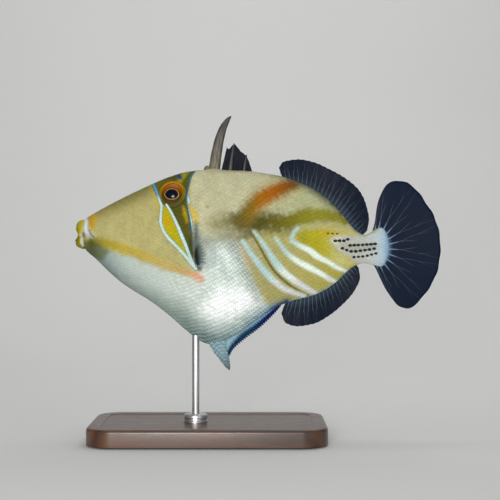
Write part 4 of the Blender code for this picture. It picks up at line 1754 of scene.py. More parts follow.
@dataclass(frozen=True)
class BonyFinish:
    """Spines, rays and teeth: one colour at the root and one at the tip, with a rough grain and painted shade
    in the low places of their relief.
    """

    name: str
    root_colour: Colour
    tip_colour: Colour
    grain: float = 0.6
    depth: float = 0.15
    roughness: float = 0.35
    reach: Pair = (0.05, 0.95)
    pit_shade_strength: float = 0.4

    def build(self, effects: SharedEffects) -> Material:
        """Makes the material.

        Args:
            effects: the shared shader groups.

        Returns:
            The material.
        """
        made = Finish(self.name, (0.4, 0.38, 0.35), Coat_Weight=0.1, Coat_Roughness=0.3)
        along = made.step(made.number("outward"), *self.reach)
        colour = made.mix(along, paint(*self.root_colour), paint(*self.tip_colour))
        # Painted shade: the low places of a spine's relief are darkened.
        pit_shade = made.scaled(made.number("pit"), self.pit_shade_strength)
        colour = made.mix(pit_shade, colour, paint(72, 76, 72), "MULTIPLY")
        grain = effects.rough(made, self.grain, self.grain / 3)
        return made.give(Base_Color=effects.mottled(made, colour, 1.1, 0.5),
                         Normal=made.bump(grain, self.depth),
                         Roughness=made.scaled(grain, 0.25, self.roughness))


@dataclass(frozen=True)
class WoodFinish:
    """Dark waxed wood with a long grain along X."""

    wax: float = 0.15

    def build(self) -> Material:
        """Makes the material.

        Returns:
            The material.
        """
        made = Finish("waxed wood", (0.12, 0.06, 0.03), Coat_Weight=self.wax, Coat_Roughness=0.25)
        long = made.stretched(0.12, 1, 1)
        waves = {"Vector": long, "Scale": 55, "Distortion": 5, "Detail": 3, "Detail Scale": 1.5}
        rings = made.node("TexWave", waves, wave_type="BANDS", bands_direction="Y").outputs[1]
        pores = made.noise(made.stretched(0.05, 1, 1), 0.35)
        colour = made.mix(rings, paint(62, 36, 22), paint(96, 60, 36))
        colour = made.mix(made.step(made.noise(long, 9, 3), 0.35, 0.7, 0, 0.5), colour, paint(48, 28, 18))
        colour = made.mix(made.step(pores, 0.62, 0.75, 0, 0.6), colour, paint(26, 14, 9))
        return made.give(Base_Color=colour, Roughness=made.step(pores, 0.4, 0.8, 0.32, 0.5),
                         Normal=made.bump(made.math("SUBTRACT", rings, pores), 0.02))


@dataclass(frozen=True)
class MetalFinish:
    """Brushed steel, with fine lines round the rod."""

    metallic: float = 1

    def build(self) -> Material:
        """Makes the material.

        Returns:
            The material.
        """
        made = Finish("brushed steel", (0.5, 0.5, 0.5), Metallic=self.metallic)
        brushed = made.noise(made.stretched(0.15, 0.15, 1), 0.8, 3)
        smudged = made.math("ADD", brushed, made.noise(made.place(), 6, 3))
        colour = made.mix(made.scaled(brushed, 0.6), paint(206, 206, 204), paint(158, 160, 162))
        return made.give(Base_Color=colour, Roughness=made.step(smudged, 0.6, 1.4, 0.34, 0.46),
                         Normal=made.bump(brushed, 0.004))


@dataclass(frozen=True)
class FeltFinish:
    """Short dark felt under the base."""

    roughness: float = 0.95

    def build(self, effects: SharedEffects) -> Material:
        """Makes the material.

        Args:
            effects: the shared shader groups.

        Returns:
            The material.
        """
        made = Finish("felt", (0.03, 0.04, 0.04), Roughness=self.roughness)
        fibre = effects.rough(made, 0.8, 0.2)
        return made.give(Base_Color=made.mix(fibre, paint(26, 32, 32), paint(60, 68, 66)),
                         Normal=made.bump(fibre, 0.2))


# Sub-assemblies


@dataclass
class Skin:
    """The one skin over lips, head, trunk and tail stalk, with the lids stitched in round each eye."""

    flank: Flank
    lid_rings: int = 11
    merge: float = 0.002
    nodes: tuple[str, ...] = ("lip_upper", "lip_lower", "snout", "head", "trunk_front", "trunk_rear",
                              "tail_stalk")

    def build(self, markings: Markings, material: Material) -> Piece:
        """Makes and dresses the skin.

        Args:
            markings: the fish's colours.
            material: the skin's finish.

        Returns:
            The piece.
        """
        right = self.flank.points
        left = right[:, ::-1][:, 1:] * (1, -1, 1)
        piece = grid_piece("skin", np.concatenate([right, left], axis=1))
        mesh = bmesh.new()
        mesh.from_mesh(piece.data)
        keys = ("u", "v", "inside")
        layers = [mesh.verts.layers.float.new(key) for key in keys]
        for vert, values in zip(mesh.verts, self.grid_values()):
            for layer, value in zip(layers, values):
                vert[layer] = value
        for side in Side:
            self.stitch_lids(mesh, EyeSeat(side), layers)
        values = np.array([[vert[layer] for layer in layers] for vert in mesh.verts])
        for key in keys:
            mesh.verts.layers.float.remove(mesh.verts.layers.float[key])
        mesh.to_mesh(piece.data)
        mesh.free()
        write_unwrap(piece, values[:, :2])
        markings.dress(piece, values[:, 2])
        write_numbers(piece, "bare", self.bare(corners(piece)))
        recalculate(piece, self.merge)
        close_holes(piece)
        return finish_piece(piece, Slot.SKIN, material, *self.nodes)

    def grid_values(self) -> Array:
        """Bake-map places and mouth depth of the grid's vertices.

        Returns:
            A (vertices, 3) table.
        """
        up = (self.flank.down[:, -1:] - self.flank.down) / FLANK_ON_MAP
        v = np.concatenate([0.5 + up, 0.5 - up[:, ::-1][:, 1:]], axis=1)
        u = self.flank.on_map(self.flank.along)
        mouth = ease(16, 5, np.arange(len(u)))
        return np.stack(np.broadcast_arrays(u[:, None], v, mouth[:, None]), axis=-1).reshape(-1, 3)

    def bare(self, points: Array) -> Array:
        """Where no scales grow: the lips, round the eyes, at the gill slit, and the tail fin's root.

        Args:
            points: places in mm.

        Returns:
            0 to 1 for each.
        """
        x, y, z = points.T
        made = np.maximum(ease(-91.5, -93, x), ease(70.5, 71.5, x))
        for side in Side:
            forward, upward, _ = EyeSeat(side).measure(points)
            made = np.maximum(made, ease(9.9, 9, np.hypot(forward, upward)) * (y * side.value > 0.5))
        away = np.where(x < 0, self.flank.relief.from_gill(x, z), 9)
        return np.maximum(made, ease(1.6, 1, away))

    def stitch_lids(self, mesh: bmesh.types.BMesh, seat: EyeSeat, layers: Sequence) -> None:
        """Cuts the grid open round an eye and closes it with rings down into the socket.

        Args:
            mesh: the skin, still open along the back.
            seat: the eye.
            layers: the mesh's u, v and inside values.
        """
        side = seat.side.value
        table = self.flank.raised * (1, side, 1)
        rows, columns = table.shape[:2]
        index = np.arange(rows * columns).reshape(rows, columns)
        quads = np.stack([index[:-1, :-1], index[1:, :-1], index[1:, 1:], index[:-1, 1:]], axis=-1)
        tree = BVHTree.FromPolygons(table.reshape(-1, 3).tolist(), quads.reshape(-1, 4).tolist())
        centre, outward, forward, upward = seat.frame()
        places = np.array([vert.co for vert in mesh.verts]) / MM
        along, up, out = seat.measure(places)
        inner = (np.hypot(along, up) < seat.patch_radius) & (out > -3) & (places[:, 1] * side > 0.5)
        mesh.verts.ensure_lookup_table()
        bmesh.ops.delete(mesh, geom=[mesh.verts[i] for i in np.flatnonzero(inner)], context="VERTS")
        rim = self.walk_rim(mesh, seat)
        angles = np.unwrap([math.atan2(*reversed(self.flat(seat, vert))) for vert in rim])
        even = angles[0] + math.copysign(2 * math.pi, angles[-1] - angles[0]) * np.arange(len(rim)) / len(rim)
        outer = np.linspace(seat.patch_radius, 6.5, self.lid_rings)
        previous = None
        for k, radius in enumerate(np.concatenate([outer, np.arange(6.4, 4.95, -0.1), [4.7, 4.3]])):
            share = min(1, k / 5)
            ring = []
            for start, level, vert in zip(angles, even, rim):
                angle = start * (1 - share) + level * share
                flat = centre + radius * (math.cos(angle) * forward + math.sin(angle) * upward)
                hit = tree.ray_cast(Vector(flat + 12 * outward), Vector(-outward), 30)[0]
                height = float((np.array(hit) - centre) @ outward) if hit else 2.0
                point = flat + float(seat.lid_height(np.array(radius), np.array(height))) * outward
                if previous:
                    vert = mesh.verts.new(Vector(point * MM))
                    for layer, value in zip(layers, (*self.flank.unwrap_point(point, side), 0)):
                        vert[layer] = float(value)
                else:
                    vert.co = Vector(point * MM)
                ring.append(vert)
            if previous:
                for i, vert in enumerate(ring):
                    j = (i + 1) % len(ring)
                    mesh.faces.new((previous[i], previous[j], ring[j], vert))
            previous = ring

    @staticmethod
    def flat(seat: EyeSeat, vert: bmesh.types.BMVert) -> Pair:
        """A vertex's forward and upward place by the eye."""
        forward, upward, _ = seat.measure(np.array(vert.co) / MM)
        return float(forward), float(upward)

    def walk_rim(self, mesh: bmesh.types.BMesh, seat: EyeSeat) -> list:
        """The vertices round the cut.

        Args:
            mesh: the skin.
            seat: the eye.

        Returns:
            Them in order.
        """
        edge = next(edge for edge in mesh.edges if edge.is_boundary
                    and math.hypot(*self.flat(seat, edge.verts[0])) < seat.patch_radius + 2.5
                    and edge.verts[0].co.y * seat.side.value > 0.5 * MM)
        rim, vert = [edge.verts[0]], edge.verts[1]
        while vert is not rim[0]:
            rim.append(vert)
            edge = next(other for other in vert.link_edges if other.is_boundary and other is not edge)
            vert = edge.other_vert(vert)
        return rim


@dataclass
class ScaleCoat:
    """Bony plates in slanting rows over the body, smallest on the snout."""

    flank: Flank
    lengths: Points = (
        (-94, 0.42), (-85, 0.6), (-70, 0.78), (-50, 0.95), (-30, 1.12), (0, 1.25), (25, 1.12), (45, 0.9),
        (55, 0.75), (70, 0.68),
    )
    height_share: float = 2.1
    row_step: float = -0.29
    end_edge: Pair = (0.084, -0.18)
    narrow_share: float = 0.46
    start: float = -92.6
    end: float = 71
    seed: int = 12
    pieces: tuple[tuple[str, float], ...] = (
        ("scales_snout", -60), ("scales_cheek", -34), ("scales_flank", -8), ("scales_rear",
                                                                             22), ("scales_tail", 99),
    )

    def template(self) -> tuple[Array, list[tuple[int, ...]]]:
        """One plate in lattice units.

        Returns:
            (along, down, height, rim) vertices, and its faces.
        """
        lean_x, lean_y = self.end_edge
        middle = self.row_step + 0.5
        half = [(1 + lean_x, middle + lean_y), (1 - lean_x, middle - lean_y),
                (lean_x, middle + lean_y - self.row_step)]
        hexagon = half + [(-x, -y) for x, y in half]
        outline = []
        for (x0, y0), (x1, y1) in zip(hexagon, hexagon[1:] + hexagon[:1]):
            outline += [(x0 * 0.94, y0 * 0.94), ((x0 + x1) / 2, (y0 + y1) / 2)]
        vertices = [(0, 0, 1, 0)]
        for share, height, rim in ((0.58, 0.86, 0.5), (1, 0.12, 1), (1.02, -1.2, 1.15)):
            vertices += [(x * share, y * share, height, rim) for x, y in outline]
        sides = len(outline)
        faces = [(0, 1 + i, 1 + (i + 1) % sides) for i in range(sides)]
        for base in (1, 1 + sides):
            for i in range(sides):
                j = (i + 1) % sides
                faces.append((base + i, base + sides + i, base + sides + j, base + j))
        return np.array(vertices), faces

    def lattice(self) -> tuple[Array, ...]:
        """Where plates may grow on the right flank.

        Returns:
            Their columns and rows, and the table from columns to x.
        """
        xs = np.linspace(self.start, self.end, 4000)
        columns = running(np.diff(xs) / smooth(self.lengths, xs[:-1]))
        across, down = [], []
        for k in range(int(columns[-1])):
            x = float(np.interp(k, columns, xs))
            pitch = float(smooth(self.lengths, x)) * self.height_share
            above, below = self.flank.spans(x)
            shift = self.row_step * k % 1
            first = math.ceil((0.2 * pitch - above) / pitch - shift)
            last = math.floor((below - 0.2 * pitch) / pitch - shift)
            rows = np.arange(first, last + 1) + shift
            across += [k] * len(rows)
            down += list(rows)
        return np.array(across, float), np.array(down), columns, xs

    def allowed(self, x: Array, centres: Array) -> Array:
        """Whether a plate grows there: not round the eye, at the gill slit or at the fin's root.

        Args:
            x: the plates' places along the body.
            centres: their centres.

        Returns:
            True or False for each.
        """
        z = centres[:, 2]
        forward, upward, _ = self.flank.seat.measure(centres)
        relief = self.flank.relief
        (base_x, base_z), (width, height) = relief.fin_base, relief.fin_base_size
        reach = np.hypot((x - base_x) / (width + 0.6), (z - base_z) / (height + 0.4))
        clear = (np.hypot(forward, upward) > 9.7) | (z < 115)
        return clear & (relief.from_gill(x, z) > 1.5) & (reach > 1)

    def grow(self, template: Array, markings: Markings) -> tuple[Array, ...]:
        """Lays a plate at each allowed place of the right flank.

        Args:
            template: one plate's vertices.
            markings: the fish's colours.

        Returns:
            Each plate's x and distance from the keel, all plates' vertices, and each plate's tone.
        """
        draw = np.random.default_rng(self.seed)
        across, down, columns, xs = self.lattice()
        x = np.interp(across, columns, xs)
        pitch = smooth(self.lengths, x) * self.height_share
        centres, _ = self.flank.read(x, down * pitch)
        keep = self.allowed(x, centres)
        across, down, x, pitch = across[keep], down[keep], x[keep], pitch[keep]
        pale = markings.bright(x, centres[keep, 2])
        shrink = 1 - np.minimum((0.06 + 0.05 * pale) / (self.narrow_share * pitch), 0.16)
        turn = draw.normal(0, 0.045, len(x))
        cosine, sine = np.cos(turn)[:, None], np.sin(turn)[:, None]
        local_x, local_y = template[:, 0] * shrink[:, None], template[:, 1] * shrink[:, None]
        all_x = np.interp((across[:, None] + local_x * cosine - local_y * sine).ravel(), columns, xs)
        all_down = (down[:, None] + local_x * sine + local_y * cosine).ravel()
        above, below = self.flank.spans(all_x)
        all_down = np.clip(all_down * smooth(self.lengths, all_x) * self.height_share, -above + 0.06,
                           below - 0.06)
        points, normals = self.flank.read(all_x, all_down)
        thick = (0.035 + 0.025 * pale + 0.05 * ease(1, 2.6, pitch)) * draw.uniform(0.8, 1.2, len(x))
        tilt = 0.01 * template[:, 0] * np.minimum(pitch, 2.6)[:, None] * (template[:, 2] > -1)
        lift = (template[:, 2] * thick[:, None] + tilt).ravel() + 0.02
        keel = self.flank.spans(x)[1] - down * pitch
        return x, keel, points + normals * lift[:, None], draw.normal(0, 0.085, len(x))

    def build(self, markings: Markings, material: Material) -> list[Piece]:
        """Makes and dresses the coat.

        Args:
            markings: the fish's colours.
            material: the scales' finish.

        Returns:
            Its pieces.
        """
        template, faces = self.template()
        x, keel, points, tone = self.grow(template, markings)
        size = len(template)
        pieces = []
        low = -math.inf
        for name, high in self.pieces:
            chosen = (x > low) & (x <= high)
            low = high
            members = np.repeat(chosen, size)
            count = int(chosen.sum())
            patch = np.tile(template[:, :2] / (1.1, 0.4) * 0.0015, (count, 1))
            parts, maps, listed = [], [], []
            for side in Side:
                first = (len(parts) * count + np.arange(count))[:, None] * size
                for face in faces:
                    listed += (first + (face if side is Side.RIGHT else face[::-1])).tolist()
                parts.append(points[members] * (1, side.value, 1))
                spot = self.flank.spot(x[chosen], keel[chosen], side.value)
                maps.append(np.repeat(spot, size, axis=0) + patch * (1, -side.value))
            piece = mesh_piece(name, np.concatenate(parts), listed)
            write_unwrap(piece, np.concatenate(maps))
            markings.dress(piece)
            write_numbers(piece, "tone", np.tile(np.repeat(tone[chosen], size), 2))
            write_numbers(piece, "rim", np.tile(template[:, 3], 2 * count))
            pieces.append(finish_piece(piece, Slot.SKIN, material))
        return pieces


@dataclass
class Eyes:
    """Both eyeballs."""

    segments: int = 96
    rings: int = 64
    gap: Pair = (0.06, 0.03)
    pupil_up: float = -1.3
    pupil_forward: float = -0.15
    pupil_size: Pair = (3.05, 2.35)

    def build(self, material: Material) -> list[Piece]:
        """Makes and dresses the eyeballs.

        Args:
            material: the eye's finish.

        Returns:
            The pieces.
        """
        pieces = []
        for side in Side:
            seat = EyeSeat(side)
            centre, outward, forward, upward = seat.frame()
            deselect()
            bpy.ops.mesh.primitive_uv_sphere_add(segments=self.segments, ring_count=self.rings, radius=1)
            piece = added(f"eyeball_{side.name.lower()}")
            ball = corners(piece) * MM
            radius, depth = seat.radius - self.gap[0], seat.half_depth - self.gap[1]
            flat = radius * (ball[:, :1] * forward + ball[:, 1:2] * upward)
            move_corners(piece, centre + flat + depth * ball[:, 2:] * outward)
            across = (ball[:, 0] * radius - self.pupil_forward) / self.pupil_size[0]
            up = (ball[:, 1] * radius - self.pupil_up) / self.pupil_size[1]
            point = 1 + 0.1 * ease(0.6, 1, across) * ease(0.5, 0, np.abs(up))
            edge = (np.hypot(across / point, up) - 1) * self.pupil_size[1]
            write_numbers(piece, "pupil", np.where(ball[:, 2] > 0, edge, 4))
            write_numbers(piece, "eye_up", ball[:, 1] * radius)
            recalculate(piece)
            piece.data.shade_smooth()
            pieces.append(finish_piece(piece, Slot.EYE, material, f"eye_{side.name.lower()}"))
        return pieces


@dataclass
class Teeth:
    """The chisel teeth that show between the lips."""

    roots: tuple[tuple[float, float, int], ...] = ((-94.7, 113.6, -1), (-94.9, 109.6, 1))
    count: int = 4
    depth: float = 1
    width: float = 0.75
    length: float = 2.1
    spread: float = 0.8
    lean: float = math.radians(16)

    def build(self, material: Material) -> Piece:
        """Makes and dresses the teeth, each a block tapered to its biting edge.

        Args:
            material: the teeth's finish.

        Returns:
            The piece.
        """
        made = []
        for x, z, down in self.roots:
            for k in range(self.count):
                y = (k - (self.count - 1) / 2) * self.spread
                deselect()
                bpy.ops.mesh.primitive_cube_add(size=1)
                tooth = bpy.context.object
                tooth.scale = Vector((self.depth, self.width, self.length)) * MM
                tooth.rotation_euler = (0, self.lean * down, 0)
                tooth.location = Vector((x + 0.06 * y * y, y, z + down * 0.5)) * MM
                settle(tooth)
                edit(tooth, lambda face, d=down: face.normal.z * d > 0.8)
                bpy.ops.transform.resize(value=(0.35, 0.82, 1), center_override=tooth.data.vertices[0].co)
                leave_edit()
                apply_modifier(tooth, "BEVEL", width=0.16 * MM, segments=3, limit_method="NONE")
                made.append(tooth)
        pick(*made)
        bpy.ops.object.join()
        piece = added("teeth")
        write_numbers(piece, "outward", ease(2.4, 0.6, np.abs(corners(piece)[:, 2] - 111.6)))
        recalculate(piece)
        piece.data.shade_smooth()
        return finish_piece(piece, Slot.SPINE, material)


@dataclass
class Fin:
    """A soft fin: branched rays in a thin, slightly pleated membrane."""

    name: str
    node: str
    root: Points
    edge: Points
    rays: int
    wave: float = 0
    place: Matrix = field(default_factory=lambda: Matrix.Identity(4))
    ray_size: Pair = (0.34, 0.1)
    pleat: float = 0.1
    thickness: float = 0.22
    across: int = 6
    along: int = 26
    forks: Pair = (0.45, 0.75)
    notch: float = 0.012
    rake: float = 0
    tube_sides: int = 5

    def surface(self, u: Array, v: Array) -> Array:
        """Points on the fin's middle surface.

        Args:
            u: 0 at the leading end to 1 at the trailing end.
            v: 0 at the root to 1 at the edge.

        Returns:
            Places in mm.
        """
        at = np.linspace(0, 1, 200)
        start = read_rows(u - self.rake * u * (1 - u), at, trace(self.root, 200))
        end = read_rows(u, at, trace(self.edge, 200))
        notch = np.sin(math.pi * u * (self.rays - 1)) ** 2
        flat = start + (end - start) * (v * (1 - self.notch * notch * v**4))[..., None]
        sway = self.wave * v * v * np.sin(3 * math.pi * u)
        return np.stack([flat[..., 0], sway, flat[..., 1]], axis=-1)

    def put(self, points: Array) -> Array:
        """Points moved from the fin's own plane to the fish."""
        return points @ np.array(self.place.to_3x3()).T + np.array(self.place.translation)

    def build(self, membrane: Material, bone: Material) -> list[Piece]:
        """Makes and dresses the fin.

        Args:
            membrane: the fin skin's finish.
            bone: the rays' finish.

        Returns:
            The membrane and the rays.
        """
        columns = (self.rays - 1) * self.across + 1
        v, u = np.meshgrid(np.linspace(0, 1, self.along), np.linspace(0, 1, columns), indexing="ij")
        points = self.surface(u, v)
        phase = u * (self.rays - 1)
        fold = np.sin(math.pi * phase) ** 2 * np.where(np.floor(phase) % 2, 1, -1)
        points[..., 1] += self.pleat * ease(0, 0.4, v) * fold
        sheet = self.membrane(self.put(points), v, u)
        return [finish_piece(sheet, Slot.FIN, membrane, self.node), self.build_rays(bone)]

    def membrane(self, points: Array, v: Array, u: Array) -> Piece:
        """The fin's skin, given its thickness.

        Args:
            points: its middle surface.
            v, u: the shares outward and backward of each point.

        Returns:
            The new object.
        """
        sheet = grid_piece(f"{self.name}_membrane", points)
        write_numbers(sheet, "outward", v.ravel())
        write_numbers(sheet, "trailing", u.ravel())
        apply_modifier(sheet, "SOLIDIFY", thickness=self.thickness * MM, offset=0)
        recalculate(sheet)
        sheet.data.shade_smooth()
        return sheet

    def build_rays(self, bone: Material) -> Piece:
        """The rays, each a stem that forks twice.

        Args:
            bone: their finish.

        Returns:
            The piece.
        """
        paths, radii, outs = [], [], []
        first, second = self.forks
        for low, high, begins, ends, slim in (
            (0, first, (0,), (0,), 1),
            (first, second, (0, 0), (-0.5, 0.5), 1.35),
            (second, 0.992, (-0.5, -0.5, 0.5, 0.5), (-0.78, -0.26, 0.26, 0.78), 1.65),
        ):
            v = np.linspace(low, high, 14)
            for begin, end in zip(begins, ends):
                spread = begin + (end - begin) * ease(low, high, v) ** 0.8
                for centre in np.linspace(0.004, 0.996, self.rays):
                    u = np.clip(centre + 0.42 / (self.rays - 1) * spread, 0, 1)
                    paths.append(self.surface(u, v))
                    radii.append((self.ray_size[0] + (self.ray_size[1] - self.ray_size[0]) * v) / slim)
                    outs.append(v)
        piece = tubes(f"{self.name}_rays", np.array(paths), np.array(radii), self.tube_sides)
        write_numbers(piece, "outward", np.repeat(np.array(outs).ravel(), self.tube_sides))
        move_corners(piece, self.put(corners(piece)))
        return finish_piece(piece, Slot.FIN, bone)


@dataclass
class SpinyParts:
    """The first dorsal fin, the pelvic spine with its flap, and the tail's thorns."""

    flank: Flank
    effects: SharedEffects
    first_spine: Points = (
        (-24.6, 141.5, 3.8, 2.4), (-23.6, 149, 3.2, 2.1), (-22.4, 157, 2.9, 1.8), (-20.7, 165, 2.5, 1.5),
        (-18.5, 171, 1.9, 1.1), (-16.3, 174.8, 1.2, 0.7), (-14.6, 176.7, 0.4, 0.4),
    )
    second_spine: Points = ((-15.6, 142.5, 1.4, 1.3), (-14.6, 152, 1, 0.9), (-13.1, 161.8, 0.4, 0.4))
    third_spine: Points = ((-8, 142.5, 1.1, 1), (-7.2, 150, 0.8, 0.8), (-6.2, 155.6, 0.4, 0.4))
    web_root: Points = ((-21, 143), (-16, 142.5), (-11, 142.5), (-6, 142.5), (-3, 142.5))
    web_edge: Points = (
        (-17, 159.6), (-16, 158.9), (-13.1, 161.4), (-9.4, 157.6), (-6.4, 155), (-4.6, 151.2), (-3, 146),
    )
    pelvic_spine: Points = (
        (-22.6, 55, 4.4, 0.9), (-20.9, 50.4, 4.2, 1.5), (-19.2, 46.2, 3, 1.9), (-17.6, 42.6, 1.9, 1.5),
        (-16.2, 39.4, 1, 0.9), (-15.5, 37.7, 0.4, 0.4),
    )
    flap_root: Points = ((-18, 51.5), (-13, 60), (-5, 65), (3, 71), (9, 75.5), (12.4, 77))
    flap_edge: Points = (
        (-15.6, 44.9), (-13.6, 48.5), (-6.3, 55), (1.5, 60.9), (6.4, 65.5), (10.6, 70), (12.4, 72.4),
    )
    knuckle: tuple[float, float, float, float] = (-27.4, 147.4, 2.3, 1.9)
    thorn_size: Triple = (1.15, 0.75, 1.05)
    thorn_sink: float = 0.05

    def spike(self, name: str, stations: Points, roughness: Callable, sides: int, count: int) -> Piece:
        """A tapering bony spine with its own relief.

        Args:
            name: the piece's name.
            stations: (x, z, half width, half thickness) along it.
            roughness: relief in mm from the turn round it and the share along it.
            sides, count: how finely it is made.

        Returns:
            The new object.
        """
        table = trace(stations, count)
        heading = np.gradient(table[:, :2], axis=0)
        heading /= np.linalg.norm(heading, axis=1)[:, None]
        turn, along = np.meshgrid(np.linspace(0, 2 * math.pi, sides + 1), np.linspace(0, 1, count))
        relief = roughness(turn, along) * ease(1, 0.86, along)
        wide = (table[:, 2:3] - 0.1 + relief) * np.cos(turn)
        thick = (table[:, 3:4] - 0.1 + relief) * np.sin(turn)
        x = table[:, 0:1] + heading[:, 1:2] * wide
        z = table[:, 1:2] - heading[:, 0:1] * wide
        piece = grid_piece(name, np.stack([x, thick, z], axis=-1))
        write_numbers(piece, "outward", along.ravel())
        # pit marks the low places of the relief, which the bone's material darkens as painted shade.
        write_numbers(piece, "pit", ease(0.55, 0.1, relief / max(float(relief.max()), 0.01)).ravel())
        recalculate(piece, 0.004)
        close_holes(piece)
        recalculate(piece)
        return piece

    @staticmethod
    def granular(turn: Array, along: Array) -> Array:
        """The first spine's rough front, with grooved sides.

        Args:
            turn: the turn round it.
            along: the share along it.

        Returns:
            The relief in mm.
        """
        front = ease(0.2, -0.7, np.cos(turn))
        bead = np.abs(np.sin(turn * 9) * np.sin(along * 120)) * 0.28
        groove = -0.22 * hump(np.abs(np.sin(turn)) - 0.95, 0.06) * ease(0.05, 0.2, along)
        return bead * front + groove * (1 - front) + 0.05 * np.sin(turn * 5 + along * 30)

    @staticmethod
    def knobbly(turn: Array, along: Array) -> Array:
        """The pelvic spine's rows of little knobs."""
        knobs = np.abs(np.sin(turn * 4 + along * 11) * np.sin(along * 30 + np.sin(turn * 3)))
        return 0.55 * knobs + 0.08 * np.sin(turn * 11 + along * 50)

    @staticmethod
    def ribbed(turn: Array, along: Array) -> Array:
        """A thin spine's long ribs."""
        return 0.04 * np.sin(turn * 6)

    def build_dorsal(self) -> None:
        """The first dorsal fin's spines, knob and dark web."""
        bone = BonyFinish("first spine", (112, 102, 78), (52, 46, 42), 0.8, 0.2).build(self.effects)
        dark = BonyFinish("thin spine", (74, 70, 64), (56, 52, 50), 0.6, 0.08).build(self.effects)
        web = MembraneFinish("dark web", (16, 20, 30), (34, 34, 34), (1.3, 1)).build(self.effects)
        first = self.spike("first_dorsal_spine", self.first_spine, self.granular, 56, 150)
        finish_piece(first, Slot.SPINE, bone, "dorsal_spine")
        self.build_knuckle()
        for name, stations in (("second", self.second_spine), ("third", self.third_spine)):
            spine = self.spike(f"{name}_dorsal_spine", stations, self.ribbed, 20, 60)
            finish_piece(spine, Slot.SPINE, dark)
        fin = Fin("dorsal_web", "dorsal_web", self.web_root, self.web_edge, 9, thickness=0.32)
        v, u = np.meshgrid(np.linspace(0, 1, 30), np.linspace(0, 1, 65), indexing="ij")
        points = fin.surface(u, v)
        points[..., 1] += 0.35 * np.sin(u * 19 + v * 2) * ease(0.1, 0.6, v) * (0.4 + 0.6 * np.sin(v * 5))
        finish_piece(fin.membrane(points, v, u), Slot.FIN, web, "dorsal_web")

    def build_knuckle(self) -> None:
        """The rough knob in front of the first spine's foot."""
        x, z, radius, half_width = self.knuckle
        deselect()
        place = (x * MM, 0, z * MM)
        bpy.ops.mesh.primitive_uv_sphere_add(segments=36, ring_count=24, radius=radius * MM, location=place)
        knob = added("spine_knuckle")
        knob.scale = (0.97, half_width / radius, 0.97)
        settle(knob)
        points = corners(knob)
        swell = 0.1 * ripple(points[:, 0] + points[:, 1], points[:, 2], 1.6, 9)
        points[:, 2] += swell - 0.25 * hump(points[:, 0] - x - 0.4, 0.35) * ease(z, z + 1.5, points[:, 2])
        move_corners(knob, points)
        write_numbers(knob, "outward", np.full(len(points), 0.5))
        knob.data.shade_smooth()
        finish = BonyFinish("pale knob", (92, 88, 60), (104, 98, 70), 0.7, 0.12)
        finish_piece(knob, Slot.SPINE, finish.build(self.effects))

    def build_pelvis(self) -> None:
        """The knobbly pelvic spine, and the flap behind it with its slanting stiff rays."""
        bone = BonyFinish("pelvic spine", (132, 164, 172), (104, 126, 132), 0.7, 0.4, reach=(0.4, 0.95))
        flap = MembraneFinish("ventral flap", (0, 4, 74), (112, 152, 168), (1.5, 1.5), (0.3, 0.7),
                              (8, 44, 70))
        rays = BonyFinish("flap rays", (140, 176, 192), (2, 10, 70), 0.7, 0.15, reach=(0.3, 0.75))
        spine = self.spike("pelvic_spine_bone", self.pelvic_spine, self.knobbly, 48, 110)
        finish_piece(spine, Slot.SKIN, bone.build(self.effects), "pelvic_spine")
        fin = Fin("ventral_flap", "ventral_flap", self.flap_root, self.flap_edge, 30, thickness=0.55,
                  pleat=0.18,
                  across=5, forks=(0.6, 0.85), ray_size=(0.5, 0.3), notch=0.12, rake=0.5)
        fin.build(flap.build(self.effects), rays.build(self.effects))

    def thorn(self) -> tuple[Array, list[tuple[int, ...]]]:
        """One thorn: a cone bent forward.

        Returns:
            Its vertices for a length of 1, and its faces.
        """
        deselect()
        bpy.ops.mesh.primitive_cone_add(vertices=10, radius1=0.5, radius2=0.05, depth=1, location=(0, 0, 0.5))
        cone = bpy.context.object
        settle(cone)
        edit(cone)
        bpy.ops.mesh.subdivide(number_cuts=2)
        leave_edit()
        shape = corners(cone) * MM
        shape[:, 0] = shape[:, 0] * 1.2 - 0.8 * shape[:, 2] ** 2
        faces = [tuple(face.vertices) for face in cone.data.polygons]
        bpy.data.objects.remove(cone)
        return shape, faces

    def build_thorns(self) -> None:
        """The tail stalk's thorns: one shaped, and a copy at each dark spot on both flanks."""
        shape, faces = self.thorn()
        vertices, table = [], []
        for row in SPINELET_ROWS:
            for x, z in row.places():
                point, normal = self.flank.read(np.array([x]), np.array([self.flank.down_at(x, z)[1]]))
                out = normal[0]
                up = np.cross(out, (1, 0, 0))
                up /= np.linalg.norm(up)
                back = np.cross(up, out)
                local = shape * self.thorn_size * row.size
                placed = local[:, :1] * back + local[:, 1:2] * up + (local[:, 2:] - self.thorn_sink) * out
                for side in Side:
                    start = len(vertices) * len(shape)
                    vertices.append((point[0] + placed) * (1, side.value, 1))
                    for face in faces:
                        table.append([start + i for i in (face if side is Side.RIGHT else face[::-1])])
        piece = mesh_piece("tail_thorns", np.concatenate(vertices), table)
        write_numbers(piece, "outward", np.tile(shape[:, 2], len(vertices)))
        recalculate(piece)
        finish = BonyFinish("thorn", (16, 16, 18), (44, 42, 42), 0.4, 0.05, 0.2)
        finish_piece(piece, Slot.SPINE, finish.build(self.effects))


